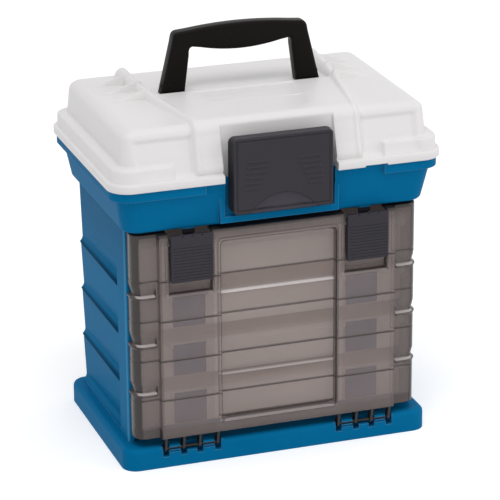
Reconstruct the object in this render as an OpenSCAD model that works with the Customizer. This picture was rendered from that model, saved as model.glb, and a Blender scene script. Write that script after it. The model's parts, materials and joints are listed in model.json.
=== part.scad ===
// Fishing tackle cabinet: a rack of four flat boxes behind a clear door,
// under a deep storage tub with a hinged lid.
// Millimetres. X runs to the right, Y to the back, Z up. The origin is the
// centre of the underside of the base.

/* [Base] */
// Width of the base over its skirt
base_w = 260.6; // [254:0.2:270]
// Depth of the base over its skirt
base_d = 167.4; // [165:0.2:172]
// Height of the base, up to its deck
base_h = 18; // [17:0.5:22]
// Corner radius of the base in plan
base_corner = 12; // [8:1:16]
// Rounding of the top edge of the base
base_edge = 4; // [2:0.5:6]
// Thickness of the skirt and the deck
base_wall = 2.6; // [2:0.1:3]

/* [Rack] */
// Width over the two side walls
rack_w = 245; // [244:0.2:248]
// How far the back of the side walls lies inside the back of the base
rack_back_step = 9.7; // [6:0.1:11]
// How far the front of the side walls lies inside the front of the base
rack_front_step = 18.2; // [17:0.1:19.5]
// Room above the top box, up to the side walls' top
rack_head = 15.7; // [14.7:0.1:19.7]
// Thickness of the side walls
side_t = 5; // [4.6:0.1:5.4]
// Length of the plain column at the front of each side wall
column_l = 24.5; // [18:0.5:30]
// How far each side panel lies behind its column
panel_set_back = 1.5; // [1:0.1:1.8]
// Depth of the outside ledges next to the column
ledge_front_depth = 5.6; // [4:0.1:6]
// Depth of the outside ledges at the back
ledge_back_depth = 2.8; // [2:0.1:3]
// How far each side panel lies behind the edge of the ledge above it
ledge_lip = 1.2; // [0.6:0.1:1.4]
// Thickness of the back panel
back_t = 2.6; // [2:0.1:3]

/* [Storage boxes] */
// Width of a box over its rim
box_w = 229; // [224:0.5:230]
// How much shallower a box is over its rim than the base
box_less_d = 43.4; // [42.4:0.2:49.4]
// Height of a closed box
box_h = 30; // [28:0.2:30.4]
// Height from one box to the next
box_pitch = 41.6; // [41.2:0.1:42]
// Height of the lowest box above the floor
first_box_z = 31.5; // [30:0.5:33]
// Height of a box tray
tray_h = 25; // [23:0.5:26]
// Wall thickness of the boxes
box_t = 1.4; // [1:0.1:1.6]
// Width of a box latch
box_latch_w = 27; // [22:0.5:32]
// Distance of a box latch from the middle
box_latch_x = 73.4; // [60:0.2:85]

/* [Door] */
// Width of the door
door_w = 241; // [238:0.5:243]
// How far the door's side strips lie inside the front of the base
door_step = 2.7; // [2.2:0.1:3.2]
// How far the middle panel stands in front of the side strips
panel_proud = 5; // [4:0.2:5.4]
// Width of the middle panel
panel_w = 200.4; // [196:0.2:204]
// Thickness of the door
door_t = 2.2; // [2:0.1:2.4]
// Height of the door's lower edge
door_bottom = 25.5; // [25:0.5:27]
// How far the door's upper edge lies below the side walls' top
door_top_gap = 2.4; // [2:0.1:5]
// Width of the sunk window
window_w = 98.4; // [80:0.2:104]
// Height of the window's lower edge
window_bottom = 34.3; // [32:0.1:38]
// How far the window's upper edge lies below the door's
window_head = 10.3; // [8.6:0.1:19.6]
// How far the window is sunk behind the middle panel
window_sink = 4; // [3:0.1:4.4]

/* [Door latches] */
// Distance of a door latch from the middle
door_latch_x = 74; // [70:0.2:78]
// Width of a door latch
door_latch_w = 34.4; // [30:0.2:36]
// Height of a door latch
door_latch_h = 39; // [33:0.5:43]
// How far a door latch's upper edge lies below the side walls' top
door_latch_gap = 2.5; // [2:0.1:4]
// How far a door latch's front face stands in front of the door's middle panel
door_latch_proud = 5; // [4.4:0.1:6]

/* [Tub] */
// Width of the tub over its rim band
tub_w = 273.6; // [270:0.2:275]
// How much deeper the tub is over its rim band than the base
tub_extra_d = 17; // [16:0.2:18]
// Height of the tub, from the side walls' top up to its rim
tub_h = 38.9; // [34:0.1:42]
// Width of the tub's wall just under the rim band
tub_wall_w = 262.4; // [258:0.2:266]
// How much deeper the tub's wall is just under the rim band than the base
tub_wall_extra_d = 11.6; // [10:0.2:12]
// Width of the tub at its foot
tub_foot_w = 253.4; // [248:0.2:256]
// Wall thickness of the tub
tub_t = 2.6; // [2:0.1:3]

/* [Lid] */
// Width of the lid over its flange
lid_w = 277.8; // [276:0.2:280]
// How much deeper the lid is over its flange than the tub over its rim band
lid_extra_d = 4.2; // [3.6:0.2:4.8]
// Height of the lid's side sections above the tub's rim
lid_h = 44.1; // [42.1:0.1:46.1]
// Height of the front deck of the lid above the side sections
deck_h = 2.6; // [1.4:0.1:4]
// Height of the back ends of the two ridges above the side sections
ridge_h = 11; // [7:0.5:13]
// Wall thickness of the lid
lid_t = 2.6; // [2:0.1:3]
// Angle that the lid opens to
lid_angle = 100; // [90:1:105]

/* [Lid latch] */
// Width of the lid latch over its front face
lid_latch_w = 82.7; // [76:0.1:84]
// Height of the lid latch
lid_latch_h = 62; // [57.6:0.1:63.6]
// How far the lid latch's upper edge lies below the lid's side sections
lid_latch_gap = 9.4; // [9:0.1:13]
// How far the lid latch's front face stands in front of the lid's flange
lid_latch_proud = 4.7; // [3:0.1:6]

/* [Handle] */
// Height of the middle of the grip above the lid's side sections
handle_h = 54.6; // [45:0.2:60]
// Width of the handle over its feet
handle_w = 136; // [130:0.5:140]
// Clear width between the handle's feet
handle_gap = 95; // [90:0.5:98]
// Thickness of the handle from front to back
handle_t = 13; // [11:0.2:13.4]

/* [Clearances] */
// Gap between pieces that move past each other
move_gap = 0.3; // [0.25:0.05:0.4]
// Gap round a pin in its bore
pin_gap = 0.05; // [0.02:0.01:0.08]
// Gap between pieces that only seat on each other
seat_gap = 0.15; // [0.1:0.05:0.2]

/* [Hidden] */

BOXES = 4;
$fn = 48;
HULL_FN = 32; // for the children of a hull
BIG = 400; // longer than the cabinet

blue = "#05618E";
clear_brown = "#8F857C";
white = "#E6E6E6";
grey = "#46444B";
black = "#191414";
steel = "#B9BCC0";
frosted = "#C6C9C6";

// Places that several pieces share
cut = 0.5; // how far a cut runs past the surface it starts from
side_out = rack_w / 2;
side_in = side_out - side_t;
channel_x = side_in - 0.7; // bottom of the channels for the back panel
ledge_drop = 12.3; // from the underside of a box down to the ledge beside it
base_y = base_d / 2;
rack_top = first_box_z + (BOXES - 1) * box_pitch + box_h + rack_head;
door_top = rack_top - door_top_gap;
window_top = door_top - window_head;
door_latch_top = rack_top - door_latch_gap;
door_latch_bottom = door_latch_top - door_latch_h;
tub_top = rack_top + tub_h;
lid_top = tub_top + lid_h;
deck_top = lid_top + deck_h;
ridge_top = lid_top + ridge_h;
lid_latch_top = lid_top - lid_latch_gap;
lid_latch_bottom = lid_latch_top - lid_latch_h;
handle_top = lid_top + handle_h;
rack_back = base_y - rack_back_step;
rack_front = base_y - rack_front_step;
door_front = base_y - door_step;
panel_front = door_front + panel_proud;
panel_back = panel_front - door_t;
window_front = panel_front - window_sink;
box_front = base_y - 8.7;
box_d = base_d - box_less_d;
box_back = -box_front + box_d;
box_mid_y = -box_front + box_d / 2;
tub_d = base_d + tub_extra_d;
tub_wall_d = base_d + tub_wall_extra_d;
tub_foot_d = base_d;
wall_y = tub_wall_d / 2;
tub_foot_y = tub_foot_d / 2;
lid_d = tub_d + lid_extra_d;

// Self-tapping screws
screw_r = 1.5;
screw_head_r = 3.2;
screw_head_h = 2;
screw_l = 12;
boss_r = 4;
screw_x = side_in - boss_r - 2.2;
screw_ys = [-rack_front + 15.5, rack_back - 19];

// Door hinge: four fins and a moulded rod on each side of the door
door_axis_y = -door_front + 0.4;
door_axis_z = 15.5;
rod_r = 1.3;
fin_t = 2.2;
fin_slot = 5.4;
fin_offsets = [-22.05, -6.85, 6.85, 22.05];
door_hinge_x = 74.25;
fin_foot_r = 2.6;
base_rib_t = 2;
base_rib_xs = [-96, -64, -32, 0, 32, 64, 96];
base_rib_ys = [-54, -27, 0, 27, 54];

// Lid hinge at the back of the tub
lid_axis_y = lid_d / 2 + 3.7;
lid_axis_z = tub_top + 2.6;
hinge_x = 78;
knuckle_r = 4.2;
hinge_pin_r = 1.5;
lid_knuckle_w = 14;
tub_knuckle_w = 9;

// Lid latch
lid_latch_front = lid_d / 2 + lid_latch_proud;
latch_axis_y = -lid_latch_front + 9;
latch_axis_z = lid_latch_top - 8;
latch_pin_r = 1.5;
latch_lug_x = 33;
latch_lug_w = 7;
latch_back = lid_latch_front - 11;
latch_recess_w = lid_latch_w + 11.3;
latch_recess_back = lid_latch_front - 18.6;
tub_recess_back = tub_foot_y + 0.7;
recess_ledge_z = rack_top + 8;
catch_w = 56; // catch under the lid latch's bead
catch_z = lid_latch_bottom + 7.4;
catch_h = 3;
catch_t = 2.2;

// Door latch
door_latch_front = panel_front + door_latch_proud;
door_latch_axis_y = -door_latch_front + 3.5;
door_latch_axis_z = door_latch_top - 6.5;
door_pin_r = 1.2;
door_lug_x = 11.5;
door_lug_w = 3;
door_lug_r = 2.4;
door_latch_t = 1.8;
pocket_side = 1;
line_z = door_bottom + 33.5; // lowest of the fine lines across the door
line_pitch = (door_top - line_z) / 4 - 1.35;
pocket_front = panel_front - 1.8; // face of the door behind each latch
scoop_depth = 4.4; // finger scoop below each latch
pocket_bottom = door_latch_bottom - 12;
keeper_y = tub_foot_y - 3;
keeper_t = 1.5;
keeper_bottom = rack_top - 4;

// Lid
lid_bottom = tub_top + move_gap;
flange_h = 4.8;
step_top = lid_bottom + 15.8;
lid_foot_w = lid_w - 14.8;
lid_foot_d = lid_d - 11.6;
lid_shoulder_w = lid_foot_w - 17;
lid_shoulder_d = lid_foot_d - 17;
lid_round = 8;
lid_corner = 18;
front_panel_sink = 0.8;
flange_notch = [70.4, 89.6]; // raised stretch of the flange's lower edge, at the front on the right
deck_back_y = 3;
ridge_r = 5;
ridge_front = [66, -lid_shoulder_d / 2 + 4.6];
ridge_mid = [79, 0];
ridge_back = [84.5, lid_shoulder_d / 2 - 21];
step_end_x = 87;
gusset_l = 28;
gusset_h = 6.4;
gusset_pitch = 23;
relief_w = 90; // shallow relief in the deck
relief_mid_y = -33;
relief_front_y = -60;

// Handle
handle_axis_y = deck_back_y + handle_t / 2 + 1;
handle_axis_z = lid_top + handle_t / 2 + 0.4;
handle_leg_w = (handle_w - handle_gap) / 2;
handle_leg_x = (handle_w + handle_gap) / 4;
handle_lug_w = 7.2;
handle_lug_r = 4;
handle_pin_r = 1.5;

// ---------- plain shapes ----------

// Rectangle with round corners, centred
module round_rect(w, d, r) {
    square([w - 2 * r, d], center = true);
    square([w, d - 2 * r], center = true);
    for (sx = [-1, 1], sy = [-1, 1])
        translate([sx * (w / 2 - r), sy * (d / 2 - r)]) circle(r);
}

// Slab with round corners in plan, from z0 up to z1
module slab(w, d, r, z0, z1) {
    translate([0, 0, z0]) linear_extrude(z1 - z0) round_rect(w, d, r);
}

// Block given by its lowest and highest corners
module block(low, high) {
    translate(low) cube(high - low);
}

// Outline drawn in Y and Z, carried along X from x0 to x1
module along_x(x0, x1) {
    translate([x0, 0, 0]) rotate([90, 0, 90]) linear_extrude(x1 - x0) children();
}

// Outline drawn in X and Z, carried along Y from y0 to y1
module along_y(y0, y1) {
    translate([0, y1, 0]) rotate([90, 0, 0]) linear_extrude(y1 - y0) children();
}

// Rod along X
module rod_x(x0, x1, y, z, r) {
    translate([x0, y, z]) rotate([0, 90, 0]) cylinder(r = r, h = x1 - x0);
}

// A shape and its mirror image in the middle plane
module both_sides() {
    children();
    mirror([1, 0, 0]) children();
}

// A flat ring with a rounded lower edge, for the corners of the tub's foot
module corner_ring(r, edge) {
    rotate_extrude($fn = HULL_FN) translate([r - edge, 0]) circle(edge, $fn = HULL_FN / 2);
}

// Points of an arc
function arc(cx, cy, r, a0, a1, n = 8) =
    [for (i = [0:n]) [cx + r * cos(a0 + (a1 - a0) * i / n), cy + r * sin(a0 + (a1 - a0) * i / n)]];

function box_z(i) = first_box_z + (i - 1) * box_pitch;

// ---------- base ----------

// Solid block with a rounded upper edge
module base_blank(inset, top) {
    w = base_w - 2 * inset;
    d = base_d - 2 * inset;
    hull() {
        slab(w, d, base_corner - inset, 0, 1, $fn = HULL_FN);
        for (sx = [-1, 1], sy = [-1, 1])
            translate([sx * (w / 2 - base_corner + inset), sy * (d / 2 - base_corner + inset), top - base_edge])
                corner_ring(base_corner - inset, base_edge);
    }
}

// One hook of the door hinge, which snaps over the moulded rod
module rod_hook(x0, x1) {
    lip = 1.5;
    back = door_axis_y + 5;
    front = door_axis_y - rod_r - 1;
    difference() {
        along_x(x0, x1) polygon([
            [back, base_h - base_wall - 1], [back, base_h + 1.2], [back - 2, base_h + 1.8],
            [front + 1, door_axis_z + rod_r + lip], [front, door_axis_z + rod_r],
            [front, door_axis_z - rod_r - 0.8], [front + 2, door_axis_z - rod_r - lip],
            [back, door_axis_z - rod_r - lip]]);
        rod_x(x0 - cut, x1 + cut, door_axis_y, door_axis_z, rod_r + pin_gap);
        // mouth through which the rod snaps in
        block([x0 - cut, front - cut, door_axis_z - rod_r * 0.8],
            [x1 + cut, door_axis_y, door_axis_z + rod_r * 0.8]);
    }
}

module base() {
    hinge_w = fin_offsets[3] - fin_offsets[0] + fin_slot;
    slot_bottom = door_axis_z - 6.2;
    color(blue) {
        difference() {
            union() {
                difference() {
                    base_blank(0, base_h);
                    translate([0, 0, -cut])
                        slab(base_w - 2 * base_wall, base_d - 2 * base_wall, base_corner - base_wall,
                            0, base_h - base_wall + cut);
                }
                // crossed ribs under the deck, which the cabinet stands on together with the skirt
                for (x = base_rib_xs)
                    block([x - base_rib_t / 2, -base_y + 1.2, 0],
                        [x + base_rib_t / 2, base_y - 1.2, base_h - base_wall + 0.2]);
                for (y = base_rib_ys)
                    block([-base_w / 2 + 1.2, y - base_rib_t / 2, 0],
                        [base_w / 2 - 1.2, y + base_rib_t / 2, base_h - base_wall + 0.2]);
                // housings of the door hinges, under the deck
                for (s = [-1, 1]) translate([s * door_hinge_x, 0, 0])
                    block([-hinge_w / 2 - 2, -base_y + 1, slot_bottom - 1.8],
                        [hinge_w / 2 + 2, door_axis_y + 6.3, base_h - 0.2]);
            }
            // holes for the screws that hold the side walls
            for (sx = [-1, 1], y = screw_ys) translate([sx * screw_x, y, 0])
                cylinder(r = screw_r + seat_gap, h = base_h + 1);
            // room for the screws' heads
            for (sx = [-1, 1], y = screw_ys) translate([sx * screw_x, y, -cut])
                cylinder(r = screw_head_r + 1.3, h = base_h - base_wall + cut + 0.1);
            // seat of each door hinge, with a deeper slot for each fin
            for (s = [-1, 1]) translate([s * door_hinge_x, 0, 0]) {
                block([-hinge_w / 2, -base_y - cut, door_axis_z - 2.8],
                    [hinge_w / 2, door_axis_y + 4.5, base_h + cut]);
                for (x = fin_offsets)
                    block([x - fin_slot / 2, -base_y - cut, slot_bottom],
                        [x + fin_slot / 2, door_axis_y + 4.5, base_h + cut]);
            }
        }
        for (s = [-1, 1], i = [0, 2])
            translate([s * door_hinge_x, 0, 0])
                rod_hook(fin_offsets[i] + fin_slot / 2 + 0.2, fin_offsets[i + 1] - fin_slot / 2 - 0.2);
    }
}

// ---------- rack ----------

// Runner for one box on the inside of a side wall, drawn in X and Z
module runner_outline(z) {
    tip = box_w / 2 - 8;
    shelf = box_w / 2 - tray_in + 1.5;
    guide_h = tray_h - 7;
    polygon([[side_in + 0.2, z + guide_h], [shelf, z + guide_h * 2 / 3], [shelf, z - move_gap], [tip, z - move_gap],
        [tip, z - 4.5], [shelf, z - 8.2], [side_in + 0.2, z - ledge_drop - 2]]);
}

// Space outside one bay of a side panel, in X and Z from the plane of the panel: the panel
// hollows to a depth just above the ledge at its foot, and leans out again to a point above
function bay_profile(depth, out_x, out_z) = let (
    reach = 3,
    r = depth + reach,
    foot = -ledge_drop - r + sqrt(pow(r, 2) - pow(reach, 2))) concat(
    [[BIG, -ledge_drop], [0, -ledge_drop]],
    arc(r - depth, foot + r, r, 269 - asin(reach / r), 180, 6),
    [[out_x, out_z]]);

module bay_cut(z, is_top) {
    run = rack_back + rack_front - column_l;
    deeper = ledge_front_depth - ledge_back_depth;
    lip_z = is_top ? rack_top - z + 1 : box_pitch - ledge_drop - 0.6;
    translate([side_out - panel_set_back, -rack_front + column_l, z]) {
        along_y(0, run + 10) polygon(concat(bay_profile(ledge_back_depth, -ledge_lip, lip_z),
            [[0, lip_z + 0.6], [BIG, lip_z + 0.6]]));
        // deeper towards the front
        translate([0, run, 0]) rotate([0, 0, -atan(deeper / run)]) along_y(-run - 5, 0)
            polygon(concat(bay_profile(ledge_back_depth, deeper - ledge_lip, box_pitch - ledge_drop - 15),
                [[BIG, box_pitch - ledge_drop - 15]]));
    }
}

module side_wall_right_hand() {
    column_end = -rack_front + column_l;
    runner_back = box_back + 4;
    edge = 3;
    color(blue) difference() {
        union() {
            // column and panel, seen in plan
            linear_extrude_from(base_h, rack_top) polygon(concat(
                [[side_in, -rack_front], [side_out - edge, -rack_front]],
                arc(side_out - edge, -rack_front + edge, edge, -90, 0),
                arc(side_out - edge, column_end - edge, edge, 0, 50),
                [[side_out - panel_set_back, column_end], [side_out - panel_set_back, rack_back - 1],
                    [side_out - panel_set_back - 1, rack_back]],
                [[side_in - 4.2, rack_back], [side_in - 4.2, rack_back - back_t - 5], [side_in, rack_back - back_t - 6]]
            ));
            for (i = [1:BOXES]) along_y(-rack_front + 3, runner_back) runner_outline(box_z(i));
            // backing of the outside ledges behind the runners
            for (i = [1:BOXES])
                block([side_in - 2, runner_back - 3, box_z(i) - ledge_drop - 2], [side_in + 0.2, rack_back - back_t - 5, box_z(i) + 3]);
            // stops behind the boxes
            for (i = [1:BOXES])
                block([side_in - 8, box_back + 1.5, box_z(i) - 1], [side_in + 0.2, runner_back, box_z(i) + 8]);
            for (y = screw_ys) {
                screw_boss(y, base_h, box_z(1) - 5);
                screw_boss(y, box_z(BOXES) + box_h + 2, rack_top);
            }
        }
        for (i = [1:BOXES]) intersection() {
            bay_cut(box_z(i), i == BOXES);
            block([0, column_end, base_h + 1], [BIG, BIG, rack_top + cut]);
        }
        // foot and top, flush with the base and the tub
        block([-BIG, -BIG, -BIG], [BIG, BIG, base_h]);
        block([-BIG, -BIG, rack_top], [BIG, BIG, BIG]);
        // channel that holds the edge of the back panel
        block([0, rack_back - back_t - 2.5 - seat_gap, 0], [channel_x, rack_back - 2.5 + seat_gap, BIG]);
        for (y = screw_ys, z = [base_h - cut, rack_top - screw_l])
            translate([screw_x, y, z]) cylinder(r = screw_r + pin_gap, h = screw_l + cut);
    }
}

module linear_extrude_from(z0, z1) {
    translate([0, 0, z0]) linear_extrude(z1 - z0) children();
}

module screw_boss(y, z0, z1) {
    translate([screw_x, y, z0]) cylinder(r = boss_r, h = z1 - z0);
    block([screw_x, y - 1, z0], [side_in + 0.2, y + 1, z1]);
}

module right_side_wall() {
    side_wall_right_hand();
}

module left_side_wall() {
    mirror([1, 0, 0]) side_wall_right_hand();
}

module back_panel() {
    y0 = rack_back - back_t - 2.5;
    half = channel_x - seat_gap;
    color(blue) difference() {
        union() {
            block([-half, y0, base_h + seat_gap], [half, y0 + back_t, rack_top - seat_gap]);
            // stiffening ribs on the inside
            for (i = [1:BOXES])
                block([-side_in + 12, y0 - 2, box_z(i) - 8], [side_in - 12, y0 + 0.2, box_z(i) - 6]);
        }
        // sunk fields on the outside
        for (i = [1:BOXES])
            block([-side_in + 14, y0 + back_t - 0.8, box_z(i)], [side_in - 14, y0 + back_t + cut, box_z(i) + 28]);
    }
}

// ---------- tub ----------

module tub() {
    band_bottom = tub_top - 9.4;
    foot = 4;
    in_top_w = tub_wall_w - 2 * tub_t + 2;
    in_top_d = tub_wall_d - 2 * tub_t + 2;
    bulge_back = tub_recess_back - tub_t;
    band_left_end = 62;
    color(blue) difference() {
        union() {
            difference() {
                union() {
                    hull() {
                        slab(tub_wall_w, tub_wall_d, 15, band_bottom - 1, band_bottom, $fn = HULL_FN);
                        for (sx = [-1, 1], sy = [-1, 1])
                            translate([sx * (tub_foot_w / 2 - 14), sy * (tub_foot_y - 14), rack_top + foot])
                                corner_ring(14, foot);
                    }
                    slab(tub_w, tub_d, 17, band_bottom, tub_top);
                }
                hull() {
                    slab(in_top_w, in_top_d, 13, tub_top, tub_top + 1, $fn = HULL_FN);
                    slab(tub_foot_w - 2 * tub_t - 2, tub_foot_d - 2 * tub_t - 2, 11,
                        rack_top + tub_t, rack_top + tub_t + 1, $fn = HULL_FN);
                }
                // the rim band stops along the middle of the front
                block([-band_left_end, -BIG, band_bottom - cut], [step_end_x, -wall_y, tub_top + cut]);
            }
            // inner wall behind the latch recess
            block([-latch_recess_w / 2 - tub_t, -wall_y + 1, rack_top + tub_t], [latch_recess_w / 2 + tub_t,
                -bulge_back, tub_top]);
            // rear hinge knuckles
            for (s = [-1, 1], k = [-1, 1])
                translate([s * hinge_x + k * (lid_knuckle_w + tub_knuckle_w + 0.8) / 2 - tub_knuckle_w / 2, 0, 0]) {
                    rod_x(0, tub_knuckle_w, lid_axis_y, lid_axis_z, knuckle_r);
                    along_x(0, tub_knuckle_w) polygon([[tub_d / 2 - 1, band_bottom], [tub_d / 2, band_bottom],
                        [lid_axis_y + knuckle_r - 0.6, lid_axis_z - 2], [lid_axis_y, lid_axis_z],
                        [lid_axis_y - knuckle_r + 0.6, tub_top], [tub_d / 2 - 1, tub_top]]);
                }
            // keepers for the two door latches
            for (s = [-1, 1])
                block([s * door_latch_x - 5, -keeper_y - keeper_t, keeper_bottom], [s * door_latch_x + 5, -keeper_y,
                    rack_top + 1]);
        }
        // recess for the lid latch, with a sloping ledge at its foot
        along_x(-latch_recess_w / 2 + 1, latch_recess_w / 2 - 1) polygon([[-tub_recess_back, tub_top + cut],
            [-tub_recess_back, recess_ledge_z + 2], [-tub_recess_back - 2, recess_ledge_z], [-BIG, recess_ledge_z - 4],
            [-BIG, tub_top + cut]]);
        // room for the lid's knuckles
        for (s = [-1, 1])
            rod_x(s * hinge_x - lid_knuckle_w / 2 - 0.4, s * hinge_x + lid_knuckle_w / 2 + 0.4,
                lid_axis_y, lid_axis_z, knuckle_r + 0.8);
        for (s = [-1, 1])
            rod_x(s * hinge_x - 20, s * hinge_x + 20, lid_axis_y, lid_axis_z, hinge_pin_r + pin_gap);
        for (sx = [-1, 1], y = screw_ys) translate([sx * screw_x, y, rack_top - cut])
            cylinder(r = screw_r + seat_gap, h = tub_t + 2);
    }
    // catch for the bead of the lid latch
    color(blue) block([-catch_w / 2, -tub_recess_back - catch_t, catch_z],
        [catch_w / 2, -tub_recess_back + 0.2, catch_z + catch_h]);
}

// ---------- screws and pins ----------

// Pan-head screw, its head's seat at the origin, pointing up
module screw(length) {
    color(steel) difference() {
        union() {
            cylinder(r = screw_r, h = length);
            translate([0, 0, -screw_head_h]) cylinder(r1 = screw_head_r - 0.6, r2 = screw_head_r, h = screw_head_h);
        }
        for (a = [0, 90]) rotate([0, 0, a])
            translate([-1.6, -0.35, -screw_head_h - cut]) cube([3.2, 0.7, 1.1 + cut]);
    }
}

module base_screws() {
    for (sx = [-1, 1], y = screw_ys)
        translate([sx * screw_x, y, base_h - base_wall]) screw(screw_l - 1);
}

module tub_screws() {
    for (sx = [-1, 1], y = screw_ys)
        translate([sx * screw_x, y, rack_top + tub_t]) rotate([180, 0, 0]) screw(screw_l - 1);
}

module lid_hinge_pins() {
    half = lid_knuckle_w / 2 + tub_knuckle_w + 0.2;
    color(steel) for (s = [-1, 1])
        rod_x(s * hinge_x - half, s * hinge_x + half, lid_axis_y, lid_axis_z, hinge_pin_r);
}

module lid_latch_pin() {
    half = lid_latch_w / 2 - 1.6;
    color(steel) rod_x(-half, half, latch_axis_y, latch_axis_z, latch_pin_r);
}

module handle_pins() {
    half = handle_leg_w / 2 - 0.6;
    color(steel) for (s = [-1, 1])
        rod_x(s * handle_leg_x - half, s * handle_leg_x + half, handle_axis_y, handle_axis_z, handle_pin_r);
}

module door_latch_pin(s) {
    half = door_latch_w / 2 - 0.6;
    color(steel) rod_x(s * door_latch_x - half, s * door_latch_x + half,
        door_latch_axis_y, door_latch_axis_z, door_pin_r);
}

// ---------- door ----------

// Half outline of the door in plan, set in by t
function door_half(t) = let (r = 9) concat(
    [[door_w / 2 - t, -rack_front - move_gap]],
    arc(door_w / 2 - r, -door_front + r, r - t, 0, -90),
    [[panel_w / 2 + 1.5 - t * 0.6, -door_front + t], [panel_w / 2 - t * 0.8, -panel_front + t]]);

function mirrored(points) = [for (i = [len(points) - 1:-1:0]) [-points[i][0], points[i][1]]];

module door_outline(t) {
    polygon(concat(door_half(t), mirrored(door_half(t))));
}

// Sunk window with its three stepped fields, in Y and Z
module window_profile() {
    f = -window_front;
    t = door_t;
    z1 = window_bottom;
    z2 = 73.4;
    z3 = 143.8;
    z4 = window_top;
    polygon([
        [-panel_front + 0.4, z1 - t], [-panel_front + 0.4, z1], [f + 1.6, z1], [f, z1 + 4.8],
        [f, z2], [f + 2.4, z2 + 1], [f, z2 + 8.6], [f, z3], [f + 2.4, z3 + 1], [f, z3 + 9.7], [f, z4],
        [-panel_front + 0.4, z4], [-panel_front + 0.4, z4 + t], [f + t, z4 + t],
        [f + t, z3 + 10], [f + 2.4 + t, z3 + 1], [f + 2.4 + t, z3 - 2], [f + t, z3 - 3],
        [f + t, z2 + 9], [f + 2.4 + t, z2 + 1], [f + 2.4 + t, z2 - 2], [f + t, z2 - 3],
        [f + t, z1 + 5], [f + 1.6 + t, z1 - t]]);
}

// Pocket behind a door latch and the scoop for a finger below it, in Y and Z
module pocket_profile() {
    t = door_t;
    scoop = -panel_front + scoop_depth;
    polygon([[-pocket_front, door_top], [-pocket_front, door_latch_bottom], [scoop, pocket_bottom + 1.6],
        [-panel_front, pocket_bottom], [-panel_front, pocket_bottom - t], [scoop + t, pocket_bottom - t + 1],
        [-pocket_front + t, door_latch_bottom + 1], [-pocket_front + t, door_top]]);
}

module door_shell() {
    difference() {
        linear_extrude_from(door_bottom, door_top) door_outline(0);
        linear_extrude_from(door_bottom - cut, door_top + cut) door_outline(door_t);
        block([-BIG, -rack_front - move_gap, 0], [BIG, BIG, BIG]);
    }
    // flanges along the lower and the upper edge
    for (z = [door_bottom, door_top - door_t]) difference() {
        linear_extrude_from(z, z + door_t) door_outline(0.4);
        block([-BIG, -box_front + 2, 0], [BIG, BIG, BIG]);
    }
}

module door_lugs() {
    ay = door_latch_axis_y;
    az = door_latch_axis_z;
    for (k = [-1, 1]) {
        x0 = k * door_lug_x - door_lug_w / 2;
        difference() {
            union() {
                rod_x(x0, x0 + door_lug_w, ay, az, door_lug_r);
                along_x(x0, x0 + door_lug_w) polygon([[ay - 2.2, az - 1], [ay, az], [ay + 2.2, az + 1],
                    [-pocket_front + 0.4, az - 4.4], [-pocket_front + 0.4, az - 12]]);
            }
            rod_x(x0 - cut, x0 + door_lug_w + cut, ay, az, door_pin_r + pin_gap);
        }
    }
}

module door_hinge() {
    first = fin_offsets[0];
    last = fin_offsets[3];
    for (x = fin_offsets)
        along_x(x - fin_t / 2, x + fin_t / 2) polygon([
            [-panel_front + 0.3, door_bottom + 0.4], [-panel_back + 5, door_bottom + 0.4],
            [door_axis_y + fin_foot_r - 0.4, door_axis_z + 1], [door_axis_y + 1.6, door_axis_z - 1.7],
            [door_axis_y, door_axis_z - fin_foot_r + 0.1], [door_axis_y - 1.8, door_axis_z - 1.6],
            [door_axis_y - fin_foot_r + 0.1, door_axis_z]]);
    rod_x(first - fin_t / 2, last + fin_t / 2, door_axis_y, door_axis_z, rod_r);
}

module door() {
    pocket_w = door_latch_w + 2 * pocket_side;
    side = door_t - 0.2;
    color(clear_brown, 0.55) difference() {
        union() {
            difference() {
                door_shell();
                block([-window_w / 2, -BIG, window_bottom], [window_w / 2, 0, window_top]);
                for (s = [-1, 1])
                    block([s * door_latch_x - pocket_w / 2, -BIG, pocket_bottom],
                        [s * door_latch_x + pocket_w / 2, 0, BIG]);
            }
            // window plate and its side walls
            along_x(-window_w / 2, window_w / 2) window_profile();
            both_sides() block([window_w / 2, -panel_front + 0.4, window_bottom - door_t],
                [window_w / 2 + door_t, -window_front + door_t, window_top + door_t]);
            // latch pockets
            for (s = [-1, 1]) translate([s * door_latch_x, 0, 0]) {
                along_x(-pocket_w / 2 - side, pocket_w / 2 + side) pocket_profile();
                for (k = [-1, 1])
                    block([k * (pocket_w + side) / 2 - side / 2, -panel_front + 0.4, pocket_bottom - 1],
                        [k * (pocket_w + side) / 2 + side / 2, -pocket_front + door_t, door_top]);
                door_lugs();
            }
            // backing of the ledges on the side strips
            both_sides() for (i = [2:BOXES])
                block([panel_w / 2 + 1, -door_front + door_t - 0.3, box_z(i) - 12.5],
                    [door_w / 2 - 4, -door_front + door_t + 1.4, box_z(i) - 1]);
            both_sides() translate([door_hinge_x, 0, 0]) door_hinge();
        }
        // ledges on the side strips
        both_sides() for (i = [2:BOXES])
            along_x(panel_w / 2 + 1.7, BIG) polygon([[-door_front - 3, box_z(i) + 6], [-door_front, box_z(i) - 1],
                [-door_front + 1.9, box_z(i) - 8.8], [-door_front, box_z(i) - 9.7], [-door_front - 3, box_z(i) - 9.7]]);
        // fine lines across the door
        for (i = [0:3]) let (z = line_z + i * line_pitch) {
            difference() {
                linear_extrude_from(z - 0.45, z + 0.45) door_outline(-1);
                linear_extrude_from(z - 1, z + 1) door_outline(0.4);
                block([-window_w / 2 - 1, -BIG, 0], [window_w / 2 + 1, BIG, BIG]);
            }
            block([-window_w / 2, -window_front - 1, z - 0.45], [window_w / 2, -window_front + 0.4, z + 0.45]);
        }
        // way for each latch's hook and for the top of the latch
        for (s = [-1, 1]) translate([s * door_latch_x, 0, 0])
            block([-pocket_w / 2, -panel_front - 1, door_latch_axis_z - 4.2], [pocket_w / 2, 0, BIG]);
    }
}

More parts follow.
